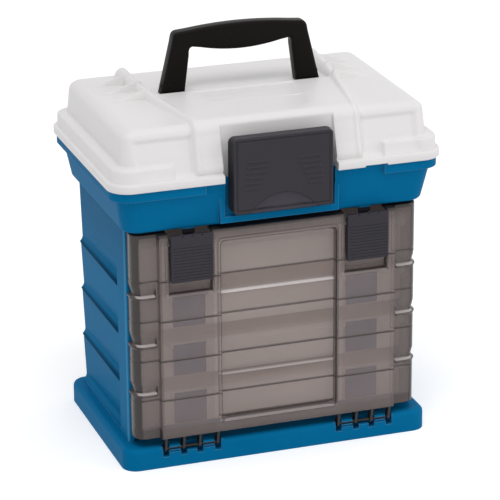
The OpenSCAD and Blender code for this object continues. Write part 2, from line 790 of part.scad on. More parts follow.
// Door latch: a ribbed plate on a pin, with a hook behind the tub's keeper
module door_latch(s) {
    ay = door_latch_axis_y;
    az = door_latch_axis_z;
    w = door_latch_w;
    t = door_latch_t;
    front = door_latch_front;
    rib_pitch = 2.6;
    ribs = floor((az - 5 - door_latch_bottom) / rib_pitch);
    color(grey) translate([s * door_latch_x, 0, 0]) difference() {
        union() {
            difference() {
                block([-w / 2, -front, door_latch_bottom], [w / 2, -panel_front + 0.4, door_latch_top]);
                block([-w / 2 + t, -front + t, door_latch_bottom - cut], [w / 2 - t, 0, door_latch_top - t]);
                // the top lip ends early, so that it swings clear of the lugs
                block([-BIG, ay - 0.8, az + 2.8], [BIG, 0, BIG]);
            }
            // hook
            along_x(-4, 4) polygon([[-front + 1, az + 1.4], [-front + 1, door_latch_top - 1], [ay - 0.8,
                door_latch_top - 1], [ay, az + 3.6], [-keeper_y - keeper_t - 0.4, az + 3.6],
                [-keeper_y + 0.5, keeper_bottom - move_gap], [-keeper_y + 2.2, keeper_bottom - move_gap],
                [-keeper_y + 2.2, az + 1.8]]);
            // cheeks round the pin
            for (k = [-1, 1])
                rod_x(k * (w / 2 - t / 2) - t / 2, k * (w / 2 - t / 2) + t / 2, ay, az, 2.6);
        }
        rod_x(-w, w, ay, az, door_pin_r + pin_gap);
        // room for the door's lugs
        for (k = [-1, 1])
            rod_x(k * door_lug_x - door_lug_w / 2 - move_gap, k * door_lug_x + door_lug_w / 2 + move_gap,
                ay, az, door_lug_r + move_gap);
        // horizontal grip grooves
        for (i = [0:ribs])
            block([-w / 2 + 1.2, -front - cut, door_latch_bottom + 2 + i * rib_pitch],
                [w / 2 - 1.2, -front + 0.5, door_latch_bottom + 3 + i * rib_pitch]);
        // notches in the upper edge
        for (x = [-8, 0, 8])
            block([x - 1, -front - cut, door_latch_top - 1.6], [x + 1, -front + 1, door_latch_top + cut]);
    }
}

// ---------- lid ----------

module lid_ridge(a, za, b, zb) {
    hull() {
        translate([a[0], a[1], za - ridge_r]) sphere(ridge_r, $fn = 24);
        translate([b[0], b[1], zb - ridge_r]) sphere(ridge_r, $fn = 24);
        translate([a[0], a[1], lid_top - 6]) cylinder(r = ridge_r + 1, h = 1, $fn = 24);
        translate([b[0], b[1], lid_top - 6]) cylinder(r = ridge_r + 1, h = 1, $fn = 24);
    }
}

// Wedge-shaped gusset on the outer side of a ridge
module gusset(y) {
    reach = ridge_back[0] + gusset_l;
    along_y(y - 1.6, y + 1.6) polygon([[ridge_back[0], lid_top - 2], [reach, lid_top - 2],
        [reach, lid_top + 0.4], [ridge_back[0] + 3, lid_top + gusset_h], [ridge_back[0], lid_top + gusset_h]]);
}

module deck_outline(inset) {
    front = lid_shoulder_d / 2 + 3 - inset;
    f = ridge_front[0] - inset;
    m = ridge_mid[0] - inset;
    polygon([[-f, -front], [f, -front], [m, deck_back_y - inset], [-m, deck_back_y - inset]]);
}

// Shallow sunk panel in the front of each side section
module front_panel_cut() {
    low = lid_bottom + flange_h + 0.5;
    high = lid_top - lid_round;
    foot_y = -lid_foot_d / 2 + front_panel_sink;
    head_y = -lid_shoulder_d / 2 + front_panel_sink;
    along_x(ridge_front[0] + 3, lid_shoulder_w / 2 - lid_round + 4)
        polygon([[foot_y, low], [head_y, high], [head_y - 20, high], [foot_y - 20, low]]);
}

module lid() {
    hollow_top = lid_top - lid_t;
    inner_foot_w = lid_foot_w - 2 * lid_t;
    inner_foot_d = lid_foot_d - 2 * lid_t;
    wall_back = latch_recess_back - lid_t;
    color(white) difference() {
        union() {
            difference() {
                union() {
                    slab(lid_w, lid_d, lid_corner, lid_bottom, lid_bottom + flange_h);
                    // raised step round the corners and along the sides
                    difference() {
                        slab(lid_w - 6.8, lid_d - 6.6, lid_corner - 3, lid_bottom, step_top);
                        block([-step_end_x, -BIG, lid_bottom + flange_h], [step_end_x, BIG, BIG]);
                    }
                    difference() {
                        hull() {
                            slab(lid_foot_w, lid_foot_d, lid_corner - 2, lid_bottom, lid_bottom + flange_h + 1,
                                $fn = HULL_FN);
                            for (sx = [-1, 1], sy = [-1, 1])
                                translate([sx * (lid_shoulder_w / 2 - lid_round),
                                    sy * (lid_shoulder_d / 2 - lid_round), lid_top - lid_round])
                                    sphere(lid_round, $fn = HULL_FN);
                        }
                        both_sides() front_panel_cut();
                    }
                    // middle deck and the band that it sends down the front
                    linear_extrude_from(lid_top - 6, deck_top) deck_outline(0);
                    along_x(-ridge_front[0], ridge_front[0]) polygon([[0, lid_bottom + 1],
                        [-lid_foot_d / 2 - 2.4, lid_bottom + 1], [-lid_foot_d / 2 - 2.4, lid_bottom + 6],
                        [-lid_shoulder_d / 2 - 2.6, deck_top - 6], [-lid_shoulder_d / 2, deck_top - 1.6],
                        [-lid_shoulder_d / 2 + 3, deck_top], [0, deck_top]]);
                    both_sides() {
                        lid_ridge(ridge_front, deck_top + 0.8, ridge_mid, deck_top + 2.6);
                        lid_ridge(ridge_mid, deck_top + 2.6, ridge_back, ridge_top);
                        for (i = [0:2]) gusset(ridge_back[1] - 11 - i * gusset_pitch);
                    }
                }
                // hollow inside, open below
                hull() {
                    slab(inner_foot_w, inner_foot_d, 13.4, lid_bottom - 1, lid_bottom + flange_h, $fn = HULL_FN);
                    for (sx = [-1, 1], sy = [-1, 1])
                        translate([sx * (lid_shoulder_w / 2 - lid_round), sy * (lid_shoulder_d / 2 - lid_round),
                            lid_top - lid_round]) sphere(lid_round - lid_t, $fn = HULL_FN);
                }
            }
            // wall behind the latch recess
            block([-latch_recess_w / 2 - lid_t, -lid_shoulder_d / 2 - 4, lid_bottom],
                [latch_recess_w / 2 + lid_t, -wall_back, lid_top - 1]);
            // lugs for the handle
            for (s = [-1, 1]) {
                x0 = s * handle_leg_x - handle_lug_w / 2;
                rod_x(x0, x0 + handle_lug_w, handle_axis_y, handle_axis_z, handle_lug_r);
                block([x0, handle_axis_y - handle_lug_r, lid_top - 1],
                    [x0 + handle_lug_w, handle_axis_y + handle_lug_r, handle_axis_z]);
            }
            // rear hinge knuckles
            for (s = [-1, 1]) translate([s * hinge_x - lid_knuckle_w / 2, 0, 0]) {
                rod_x(0, lid_knuckle_w, lid_axis_y, lid_axis_z, knuckle_r);
                along_x(0, lid_knuckle_w) polygon([[lid_d / 2 - 5, lid_bottom], [lid_axis_y, lid_axis_z - 2.2],
                    [lid_axis_y, lid_axis_z + knuckle_r], [lid_d / 2 - 5, lid_bottom + flange_h + 4]]);
            }
        }
        // recess for the latch
        block([-latch_recess_w / 2, -BIG, lid_bottom - cut], [latch_recess_w / 2, -latch_recess_back, deck_top + 3]);
        block([flange_notch[0], -BIG, lid_bottom - cut], [flange_notch[1], -lid_foot_d / 2, lid_bottom + 1.5]);
        // hand recess in the deck
        linear_extrude_from(deck_top - 1.6, BIG) polygon([[-relief_w / 2, deck_back_y + cut],
            [relief_w / 2, deck_back_y + cut], [relief_w / 2 - 6, relief_mid_y], [-relief_w / 2 + 6, relief_mid_y]]);
        linear_extrude_from(deck_top - 0.8, BIG) polygon([[-relief_w / 2 + 5, relief_mid_y + 1],
            [relief_w / 2 - 5, relief_mid_y + 1], [relief_w / 2 - 11, relief_front_y],
            [-relief_w / 2 + 11, relief_front_y]]);
        // room for the tub's knuckles
        for (s = [-1, 1], k = [-1, 1]) translate([s * hinge_x + k * (lid_knuckle_w + tub_knuckle_w + 0.8) / 2, 0, 0])
            rod_x(-tub_knuckle_w / 2 - 0.4, tub_knuckle_w / 2 + 0.4, lid_axis_y, lid_axis_z, knuckle_r + 0.8);
        for (s = [-1, 1])
            rod_x(s * hinge_x - 20, s * hinge_x + 20, lid_axis_y, lid_axis_z, hinge_pin_r + pin_gap);
        for (s = [-1, 1])
            rod_x(s * handle_leg_x - 8, s * handle_leg_x + 8, handle_axis_y, handle_axis_z, handle_pin_r + pin_gap);
    }
    // lugs for the latch
    color(white) for (s = [-1, 1]) difference() {
        union() {
            rod_x(s * latch_lug_x - latch_lug_w / 2, s * latch_lug_x + latch_lug_w / 2, latch_axis_y, latch_axis_z, 3.6);
            block([s * latch_lug_x - latch_lug_w / 2, latch_axis_y, latch_axis_z - 3.6],
                [s * latch_lug_x + latch_lug_w / 2, -latch_recess_back + 0.4, latch_axis_z + 3.6]);
        }
        rod_x(-BIG, BIG, latch_axis_y, latch_axis_z, latch_pin_r + pin_gap);
    }
}

// Lid latch: a deep cap on a pin, with a bead that snaps under the tub's catch
module lid_latch() {
    w = lid_latch_w;
    h = lid_latch_top - lid_latch_bottom;
    mid_z = (lid_latch_top + lid_latch_bottom) / 2;
    t = 2.4;
    front = lid_latch_front;
    bead_y = tub_recess_back + catch_t + move_gap;
    color(grey) difference() {
        union() {
            difference() {
                hull() {
                    along_y(-latch_back - 3, -latch_back) translate([0, mid_z]) round_rect(w + 5.3, h, 5, $fn = HULL_FN);
                    along_y(-front, -front + 0.5) translate([0, mid_z]) round_rect(w, h - 1, 5, $fn = HULL_FN);
                }
                along_y(-front + t, 0) translate([0, mid_z]) round_rect(w - 2 * t + 2, h - 2 * t, 3);
                // slots in the top, for the lid's lugs
                for (s = [-1, 1])
                    block([s * latch_lug_x - latch_lug_w / 2 - 0.8, latch_axis_y - 4.8, latch_axis_z],
                        [s * latch_lug_x + latch_lug_w / 2 + 0.8, 0, BIG]);
            }
            // ribs that carry the pin
            for (s = [-1, 1], x = [20, 26]) along_x(s * x - 1, s * x + 1)
                polygon([[-front + 1, latch_axis_z - 12], [-front + 1, lid_latch_top - 1], [latch_axis_y + 1,
                    lid_latch_top - 1], [latch_axis_y + 3, latch_axis_z], [latch_axis_y + 1, latch_axis_z - 3]]);
            // bead
            along_x(-catch_w / 2 + 2, catch_w / 2 - 2) polygon([[-front + 1, lid_latch_bottom + 0.9],
                [-front + 1, catch_z], [-bead_y, catch_z - 1.6], [-bead_y, catch_z - 2.6]]);
            // stiffening ribs on the back
            for (x = [-20, 0, 20]) block([x - 0.8, -front + 1, lid_latch_bottom + 1], [x + 0.8, -latch_back, catch_z - 3]);
            for (x = [-20, 0, 20]) block([x - 0.8, -front + 1, catch_z + catch_h + 3],
                [x + 0.8, -latch_back - 1, latch_axis_z - 6]);
            block([-w / 2 + 1, -front + 1, mid_z - 0.8], [w / 2 - 1, -latch_back - 1, mid_z + 0.8]);
        }
        rod_x(-BIG, BIG, latch_axis_y, latch_axis_z, latch_pin_r + pin_gap);
        // shallow finger scoop at the foot of the front face
        translate([0, -front - 26.2, lid_latch_bottom - 6]) sphere(27.2, $fn = 64);
        // short grip lines
        line_z = lid_latch_bottom + 22.4;
        for (s = [-1, 1], i = [0:4])
            block([s * 24 - 9 + i, -front - cut, line_z + i * 5], [s * 24 + 9 - i, -front + 0.4, line_z + 0.8 + i * 5]);
    }
}

// ---------- handle ----------

module handle_outline() {
    out = handle_w / 2;
    in = handle_gap / 2;
    grip_end = 52;
    top_end = handle_top - 3.6;
    under_mid = handle_top - 22;
    under_end = handle_top - 17;
    under_x = 40;
    corner = 5;
    n = 12;
    lean = (out - grip_end - corner) / (top_end - corner - handle_axis_z);
    polygon(concat(
        [[in, handle_axis_z]], [[in - 3.4, under_end - 4]],
        arc(under_x, under_end - 3, 3, 0, 90, 5),
        [for (i = [1:n]) let (x = under_x * (1 - 2 * i / n)) [x, under_mid + 5 * pow(x / under_x, 2)]],
        arc(-under_x, under_end - 3, 3, 90, 180, 5),
        [[-in + 3.4, under_end - 4], [-in, handle_axis_z], [-out, handle_axis_z]],
        arc(-grip_end, top_end - corner, corner, 180 - atan(lean), 96, 5),
        [for (i = [1:n - 1]) let (x = grip_end * (2 * i / n - 1)) [x, handle_top - 3.6 * pow(x / grip_end, 2)]],
        arc(grip_end, top_end - corner, corner, 84, atan(lean), 5),
        [[out, handle_axis_z]]));
}

module carry_handle() {
    half = handle_t / 2;
    color(black) difference() {
        union() {
            along_y(handle_axis_y - half, handle_axis_y + half) handle_outline();
            for (s = [-1, 1])
                rod_x(s * handle_leg_x - handle_leg_w / 2, s * handle_leg_x + handle_leg_w / 2,
                    handle_axis_y, handle_axis_z, half);
        }
        for (s = [-1, 1]) translate([s * handle_leg_x, handle_axis_y, handle_axis_z]) {
            // slot for the lid's lug, open below and behind
            slot = handle_lug_w / 2 + 0.4;
            reach = handle_lug_r + 0.5;
            rod_x(-slot, slot, 0, 0, reach);
            block([-slot, 0, -BIG], [slot, BIG, reach]);
            block([-slot, -reach, -BIG], [slot, 0, 0]);
            rod_x(-handle_leg_w, handle_leg_w, 0, 0, handle_pin_r + pin_gap);
        }
    }
}

// ---------- storage boxes ----------

rim_h = 2.5;
tray_in = 3;
row_d = (box_d - 2 * tray_in - 2 * box_t - 2 * box_t) / 3;
row_y0 = -box_front + tray_in + box_t;
divider_xs = [[0], [-34], [30]];
divider_t = 1.2;
box_hinge_x = 62;
box_hinge_y = box_back + 0.6;
box_ear_w = 4;
box_tongue_w = 12;
box_pin_r = 1.1;
box_hinge_z = tray_h - 2.6;
box_ear_r = 2.4;
latch_peg_r = 0.9;
box_latch_y = -box_front - 1.9;

function row_y(row) = row_y0 + row * (row_d + box_t);

module box_tray(i) {
    z = box_z(i);
    floor_t = 1.6;
    body_w = box_w - 2 * tray_in;
    body_d = box_d - 2 * tray_in;
    color(frosted, 0.7) translate([0, 0, z]) difference() {
        union() {
            difference() {
                union() {
                    translate([0, box_mid_y]) slab(body_w, body_d, 6, 0, tray_h);
                    translate([0, box_mid_y]) slab(box_w, box_d, 7, tray_h - rim_h, tray_h);
                }
                translate([0, box_mid_y]) slab(body_w - 2 * box_t, body_d - 2 * box_t, 4.6, floor_t, tray_h + cut);
            }
            // fixed walls between the rows
            for (row = [1, 2])
                block([-body_w / 2 + 1, row_y(row) - box_t, 1], [body_w / 2 - 1, row_y(row), tray_h - 2.2]);
            // guides for the loose dividers
            for (row = [0:2], x = divider_xs[row], k = [-1, 1], e = [0, 1])
                translate([x + k * (divider_t / 2 + seat_gap + 0.5), row_y(row) + e * (row_d - 0.9), 0])
                    block([-0.5, -0.1, 1], [0.5, 1, tray_h - 3]);
            // ears of the back hinge
            for (s = [-1, 1], k = [-1, 1])
                translate([s * box_hinge_x + k * (box_tongue_w + box_ear_w + 0.4) / 2 - box_ear_w / 2, 0, 0]) {
                    rod_x(0, box_ear_w, box_hinge_y, box_hinge_z, box_ear_r);
                    block([0, box_hinge_y - 4, tray_h - rim_h], [box_ear_w, box_hinge_y, tray_h - 0.4]);
                }
        }
        for (s = [-1, 1])
            rod_x(s * box_hinge_x - 12, s * box_hinge_x + 12, box_hinge_y, box_hinge_z, box_pin_r + pin_gap);
        // room for the tongue of the lid
        for (s = [-1, 1])
            rod_x(s * box_hinge_x - box_tongue_w / 2 - 0.2, s * box_hinge_x + box_tongue_w / 2 + 0.2,
                box_hinge_y, box_hinge_z, box_ear_r + move_gap);
    }
}

module box_lid(i) {
    z = box_z(i);
    t = 1.5;
    lip = 1.4;
    body_w = box_w - 2 * tray_in - 2 * box_t - 2 * seat_gap;
    body_d = box_d - 2 * tray_in - 2 * box_t - 2 * seat_gap;
    low = tray_h + seat_gap;
    color(frosted, 0.6) translate([0, 0, z]) difference() {
        union() {
            difference() {
                union() {
                    translate([0, box_mid_y]) slab(box_w, box_d, 7, low, box_h - 1.2);
                    translate([0, box_mid_y]) slab(box_w - 2.4, box_d - 2.4, 6, box_h - 1.3, box_h);
                }
                translate([0, box_mid_y]) slab(body_w - 2 * lip, body_d - 2 * lip, 3.6, low - cut, box_h - t);
            }
            // lip that locates the lid in the tray
            difference() {
                translate([0, box_mid_y]) slab(body_w, body_d, 4.4, tray_h - 1.8, low + 1);
                translate([0, box_mid_y]) slab(body_w - 2 * lip, body_d - 2 * lip, 3.6, 0, box_h - t);
            }
            // tongue with the moulded hinge pin
            for (s = [-1, 1]) {
                rod_x(s * box_hinge_x - box_tongue_w / 2, s * box_hinge_x + box_tongue_w / 2,
                    box_hinge_y, box_hinge_z, box_ear_r);
                along_x(s * box_hinge_x - box_tongue_w / 2, s * box_hinge_x + box_tongue_w / 2)
                    polygon([[box_hinge_y - 2, low + 2.4], [box_hinge_y + box_ear_r - 0.2, box_hinge_z + 0.6],
                        [box_hinge_y, box_hinge_z], [box_hinge_y - 1.6, low + 0.2]]);
                rod_x(s * box_hinge_x - box_tongue_w / 2 - box_ear_w, s * box_hinge_x + box_tongue_w / 2 + box_ear_w,
                    box_hinge_y, box_hinge_z, box_pin_r);
            }
            // ears for the latches
            for (s = [-1, 1], k = [-1, 1])
                translate([s * box_latch_x + k * (box_latch_w / 2 + 1.2) - 1, 0, 0]) {
                    rod_x(0, 2, box_latch_y, box_h - 2.4, 1.9);
                    block([0, box_latch_y, box_h - 4.3], [2, -box_front + 1, box_h - 0.5]);
                }
        }
        rod_x(-BIG / 2, BIG / 2, box_latch_y, box_h - 2.4, latch_peg_r + pin_gap);
    }
}

module box_latch(i, s) {
    z = box_z(i);
    w = box_latch_w - 0.2;
    t = 1.7;
    front = box_latch_y - 1.7;
    color(grey) translate([s * box_latch_x, 0, z]) {
        along_x(-w / 2, w / 2) polygon([[front, 3.4], [front, box_h - 2.4], [box_latch_y, box_h - 0.7],
            [box_latch_y + 1.2, box_h - 1.6], [box_latch_y + 1.6, box_h - 2.4], [box_latch_y + 1.2, box_h - 3.6],
            [front + t, box_h - 4.6], [front + t, tray_h - rim_h - 0.2], [-box_front + 1.2, tray_h - rim_h - seat_gap],
            [front + t, tray_h - rim_h - 2], [front + t, 4.4], [front + 0.8, 3.4]]);
        rod_x(-w / 2 - 2, w / 2 + 2, box_latch_y, box_h - 2.4, latch_peg_r);
    }
}

module box_dividers(i) {
    z = box_z(i);
    color(frosted, 0.8) for (row = [0:2], x = divider_xs[row])
        block([x - divider_t / 2, row_y(row) + seat_gap, z + 1.6 + seat_gap],
            [x + divider_t / 2, row_y(row) + row_d - seat_gap, z + tray_h - 3]);
}

// ---------- what is drawn ----------

base();
left_side_wall();
right_side_wall();
back_panel();
tub();
base_screws();
tub_screws();
lid_hinge_pins();
door();
door_latch(-1);  // door_latch_left
door_latch(1);  // door_latch_right
door_latch_pin(-1);  // door_latch_pin_left
door_latch_pin(1);  // door_latch_pin_right
lid();
lid_latch();
lid_latch_pin();
carry_handle();
handle_pins();
for (i = [1:BOXES]) {
    box_tray(i);
    box_lid(i);
    box_latch(i, -1);
    box_latch(i, 1);
    box_dividers(i);
}
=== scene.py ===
"""Fishing tackle cabinet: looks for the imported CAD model.

Laid out as a Blender add-on and run as a script. Lengths are in metres unless a name ends in _mm.
X runs to the right, Y to the back, Z up, and the origin is the centre of the base's underside.
"""

import json
import math

import bmesh
import bpy
import numpy as np
from bpy.props import FloatProperty, FloatVectorProperty, PointerProperty
from mathutils import Matrix, Vector


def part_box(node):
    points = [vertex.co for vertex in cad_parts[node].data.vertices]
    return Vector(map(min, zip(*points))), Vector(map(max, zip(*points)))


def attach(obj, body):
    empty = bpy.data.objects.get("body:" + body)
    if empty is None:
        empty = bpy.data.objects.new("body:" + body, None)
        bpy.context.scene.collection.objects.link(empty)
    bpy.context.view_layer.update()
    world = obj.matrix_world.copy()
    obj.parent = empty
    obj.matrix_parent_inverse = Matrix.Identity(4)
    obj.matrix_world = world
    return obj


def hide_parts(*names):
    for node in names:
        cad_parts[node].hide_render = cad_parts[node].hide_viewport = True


bl_info = {
    "name": "Tackle Cabinet",
    "version": (1, 0, 0),
    "blender": (4, 5, 0),
    "location": "View3D > Sidebar > Cabinet",
    "description": "Dresses the packed tackle cabinet with moulded pieces and finishes",
    "category": "Object",
}

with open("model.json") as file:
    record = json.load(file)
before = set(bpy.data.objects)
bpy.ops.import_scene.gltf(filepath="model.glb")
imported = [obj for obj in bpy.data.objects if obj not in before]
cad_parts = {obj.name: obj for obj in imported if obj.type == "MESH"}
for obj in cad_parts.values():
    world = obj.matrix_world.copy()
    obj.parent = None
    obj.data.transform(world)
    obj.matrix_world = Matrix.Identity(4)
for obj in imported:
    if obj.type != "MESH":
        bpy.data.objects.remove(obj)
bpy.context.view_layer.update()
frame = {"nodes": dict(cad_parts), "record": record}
MM = 0.001


def colour(red, green, blue):
    """Turns a colour as seen on a screen, 0 to 255, into the linear values that Blender uses."""
    seen = np.array([red, green, blue]) / 255
    return tuple(np.where(seen <= 0.04045, seen / 12.92, ((seen + 0.055) / 1.055) ** 2.4))


# ---------- settings ----------


def tint(name, description, value):
    return FloatVectorProperty(
        name=name, description=description, default=value, subtype="COLOR", min=0, max=1
    )


def spot(name, description, value):
    return FloatVectorProperty(name=name, description=description, default=value, subtype="TRANSLATION")


def number(name, description, value, low, high, **kind):
    return FloatProperty(name=name, description=description, default=value, min=low, max=high, **kind)


class CabinetColours(bpy.types.PropertyGroup):
    """Colours of the plastics and the steel."""

    blue: tint("Blue", "Base, side walls, back and tub", colour(0, 105, 153))
    # the paler blue of the cloudy tone, and where the painted highlight on edges starts from
    blue_pale: tint("Blue sheen", "Paler blue of rubbed and broad faces", colour(10, 115, 164))
    white: tint("White", "Lid", colour(228, 226, 226))
    grey: tint("Latch grey", "Latches of the lid and the door", colour(54, 52, 58))
    slate: tint("Slate", "Latches of the storage boxes", colour(8, 60, 120))
    black: tint("Black", "Carry handle", colour(16, 11, 11))
    smoke: tint("Smoke", "Clear door", colour(150, 137, 134))
    frosted: tint("Frosted", "Storage boxes", colour(224, 214, 208))
    steel: tint("Steel", "Pins and screws", colour(176, 178, 182))


class CabinetFinish(bpy.types.PropertyGroup):
    """Feel of the surfaces."""

    grain_mm: number("Grain", "Size of the mould's fine grain", 0.35, 0.1, 2)
    edge_mm: number("Edge radius", "Rounding of the moulded edges", 1.0, 0.1, 2)
    door_cover: number("Door cover", "How much one face of the door hides", 0.36, 0, 1, subtype="FACTOR")
    box_cover: number("Box cover", "How much one face of a box hides", 0.72, 0, 1, subtype="FACTOR")


class MouldSettings(bpy.types.PropertyGroup):
    """Sizes of the moulded relief."""

    deck_mm: number("Deck", "Height of the lid's middle deck over its sides", 2.6, 0, 5)
    crest_mm: number("Crest", "Height of the lid's two crests at the back", 8.5, 5, 11)
    panel_mm: number("Panel", "Depth of the sunk panels in the lid's front", 1.7, 0, 2)
    scoop_mm: number("Scoop", "Depth of the finger scoop in the lid latch", 2.3, 0, 3)
    window_mm: number("Window", "Depth of the door's sunk window", 4.0, 1, 5)
    bead_mm: number("Bead", "Height of the beads on the door's side strips", 0.9, 0, 2)


class StageSettings(bpy.types.PropertyGroup):
    """Camera and light."""

    camera_place: spot("Camera", "Where the camera stands", (-0.6808, -2.0116, 0.9254))
    camera_target: spot("Target", "What the camera points at", (0.0047, 0.0, 0.1455))
    camera_roll: number(
        "Roll", "Turn about the line of sight", math.radians(-0.44), -math.pi, math.pi, subtype="ANGLE"
    )
    lens_mm: number("Lens", "Focal length in millimetres", 196.9, 20, 400, unit="CAMERA")
    key_power: number("Key light", "Power of the large front lamp in watts", 29, 0, 500, unit="POWER")
    fill_power: number("Fill light", "Power of the side lamp in watts", 8, 0, 500, unit="POWER")


# ---------- shader maths ----------


class Value:
    """A node's output, on which + - * / ** and abs() add Math nodes."""

    def __init__(self, graph, socket):
        self.graph = graph
        self.socket = socket

    def _with(self, operation, first, second):
        return self.graph.add("ShaderNodeMath", {"operation": operation}, {0: first, 1: second})

    def __add__(self, other):
        return self._with("ADD", self, other)

    __radd__ = __add__

    def __sub__(self, other):
        return self._with("SUBTRACT", self, other)

    def __rsub__(self, other):
        return self._with("SUBTRACT", other, self)

    def __mul__(self, other):
        return self._with("MULTIPLY", self, other)

    __rmul__ = __mul__

    def __truediv__(self, other):
        return self._with("DIVIDE", self, other)

    def __pow__(self, other):
        return self._with("POWER", self, other)

    def __abs__(self):
        return self._with("ABSOLUTE", self, 0)

    def clamped(self):
        return self.graph.add("ShaderNodeClamp", {}, {"Value": self})

    def above(self, low, high):
        """0 below low, 1 above high, smooth between."""
        inputs = {"Value": self, "From Min": low, "From Max": high}
        return self.graph.add("ShaderNodeMapRange", {"interpolation_type": "SMOOTHSTEP"}, inputs)

    def below(self, low, high):
        """1 below low, 0 above high, smooth between."""
        return 1 - self.above(low, high)


class Graph:
    """A node tree that nodes are added to."""

    def __init__(self, tree):
        self.tree = tree

    def add(self, kind, settings, inputs, output=0):
        """Makes a node, sets its settings and then its sockets, and returns one of its outputs."""
        node = self.tree.nodes.new(kind)
        for name, value in settings.items():
            setattr(node, name, value)
        for key, value in inputs.items():
            socket = node.inputs[key]
            if isinstance(value, Value):
                self.tree.links.new(value.socket, socket)
            else:
                socket.default_value = value
        return Value(self, node.outputs[output])

    def looked_at(self):
        """1 for rays from the camera, off a mirror or through clear plastic, and 0 for bounced light."""
        path = self.tree.nodes.new("ShaderNodeLightPath")
        rays = ("Is Camera Ray", "Is Glossy Ray", "Is Transmission Ray")
        return sum(Value(self, path.outputs[ray]) for ray in rays).clamped()


class Shader(Graph):
    """A material, and the nodes that most finishes here need."""

    def __init__(self, name, **constants):
        self.material = bpy.data.materials.new(name)
        self.material.use_nodes = True
        super().__init__(self.material.node_tree)
        self.surface = next(n for n in self.tree.nodes if n.type == "BSDF_PRINCIPLED")
        self.output = next(n for n in self.tree.nodes if n.type == "OUTPUT_MATERIAL")
        self.place = self.add("ShaderNodeTexCoord", {}, {}, "Object")
        for socket, value in constants.items():
            self.surface.inputs[socket.replace("_", " ")].default_value = value

    def noise(self, scale, detail=2.0, stretch=(1, 1, 1), rough=0.5):
        place = self.add("ShaderNodeMapping", {}, {"Vector": self.place, "Scale": stretch})
        inputs = {"Vector": place, "Scale": scale, "Detail": detail, "Roughness": rough}
        return self.add("ShaderNodeTexNoise", {}, inputs, "Fac")

    def mix(self, amount, first, second):
        colours = [c if isinstance(c, Value) else (*c, 1) for c in (first, second)]
        inputs = {0: amount, 6: colours[0], 7: colours[1]}
        return self.add("ShaderNodeMix", {"data_type": "RGBA"}, inputs, 2)

    def along(self, axis):
        """One coordinate of the place on the object, in metres."""
        return self.add("ShaderNodeSeparateXYZ", {}, {0: self.place}, axis)

    def normal(self):
        """The surface's direction."""
        return self.add("ShaderNodeNewGeometry", {}, {}, "Normal")

    def facing(self, axis):
        """One part of the surface's direction as the piece itself has it, however the piece is turned."""
        settings = {"vector_type": "NORMAL", "convert_from": "WORLD", "convert_to": "OBJECT"}
        turned = self.add("ShaderNodeVectorTransform", settings, {"Vector": self.normal()})
        return self.add("ShaderNodeSeparateXYZ", {}, {0: turned}, axis)

    def larger(self, first, second):
        """The larger of two values."""
        return self.add("ShaderNodeMath", {"operation": "MAXIMUM"}, {0: first, 1: second})

    def rounded(self, radius_mm):
        """The surface's direction with its edges rounded, for light only."""
        return self.add("ShaderNodeBevel", {"samples": 4}, {"Radius": radius_mm * MM})

    def edges(self, round_normal):
        """1 on rounded edges and 0 on flat faces: one minus the two directions' cosine, stretched."""
        pair = {0: self.normal(), 1: round_normal}
        cosine = self.add("ShaderNodeVectorMath", {"operation": "DOT_PRODUCT"}, pair, "Value")
        return (1 - cosine).above(0.02, 0.25)

    def bump(self, height, depth_mm, normal=None):
        inputs = {"Height": height, "Strength": 1.0, "Distance": depth_mm * MM}
        if normal is not None:
            inputs["Normal"] = normal
        return self.add("ShaderNodeBump", {}, inputs)

    def feed(self, socket, value):
        self.tree.links.new(value.socket, self.surface.inputs[socket])


def scaled(value, factor):
    """A colour made darker or paler, up to 1."""
    return tuple(min(1.0, v * factor) for v in value)


def moulded(
    name, main, pale, roughness, edge_mm, edge_highlight, specular, ior=1.49, grain=1.0, grain_depth_mm=0.02,
    painted_light=None,
):
    """Injection-moulded plastic: cloudy colour, fine grain, faint flow marks, scuffs and a painted
    highlight on edges.

    Grain scales the mould's grain. The last argument takes the shader and gives pairs of an amount and a
    colour of painted shade or painted highlight, which lie over the plastic in turn.
    """
    grain_mm = bpy.context.scene.cabinet_finish.grain_mm * grain
    shader = Shader(name, IOR=ior, Specular_IOR_Level=specular)
    cloud = shader.noise(9, 3)
    flow = shader.noise(30, 2, (1, 1, 0.25))
    pores = shader.noise(1 / (grain_mm * MM), 2, rough=0.6)
    scuff = shader.noise(420, 4, (1, 0.12, 1)).above(0.62, 0.78)
    round_normal = shader.rounded(edge_mm)
    # rounded edges, which get a painted highlight
    painted_edge_highlight = shader.edges(round_normal)
    base = shader.mix((cloud.above(0.35, 0.7) * 0.35 + flow.above(0.5, 0.8) * 0.12).clamped(), main, pale)
    # paler colour for the scuffs' wear and for the painted highlight on edges
    scuff_and_highlight = tuple(c + (1 - c) * 0.22 for c in pale)
    whole = shader.mix((painted_edge_highlight * edge_highlight + scuff * 0.05).clamped(), base, scuff_and_highlight)
    # painted shade and painted highlights, laid over in turn
    for amount, over in painted_light(shader) if painted_light else ():
        whole = shader.mix(amount, whole, over)
    shader.feed("Base Color", whole)
    shader.feed("Roughness", (roughness - 0.05 + cloud * 0.1 + scuff * 0.08 - painted_edge_highlight * 0.05).clamped())
    shader.feed("Normal", shader.bump(pores, grain_depth_mm, round_normal))
    return shader


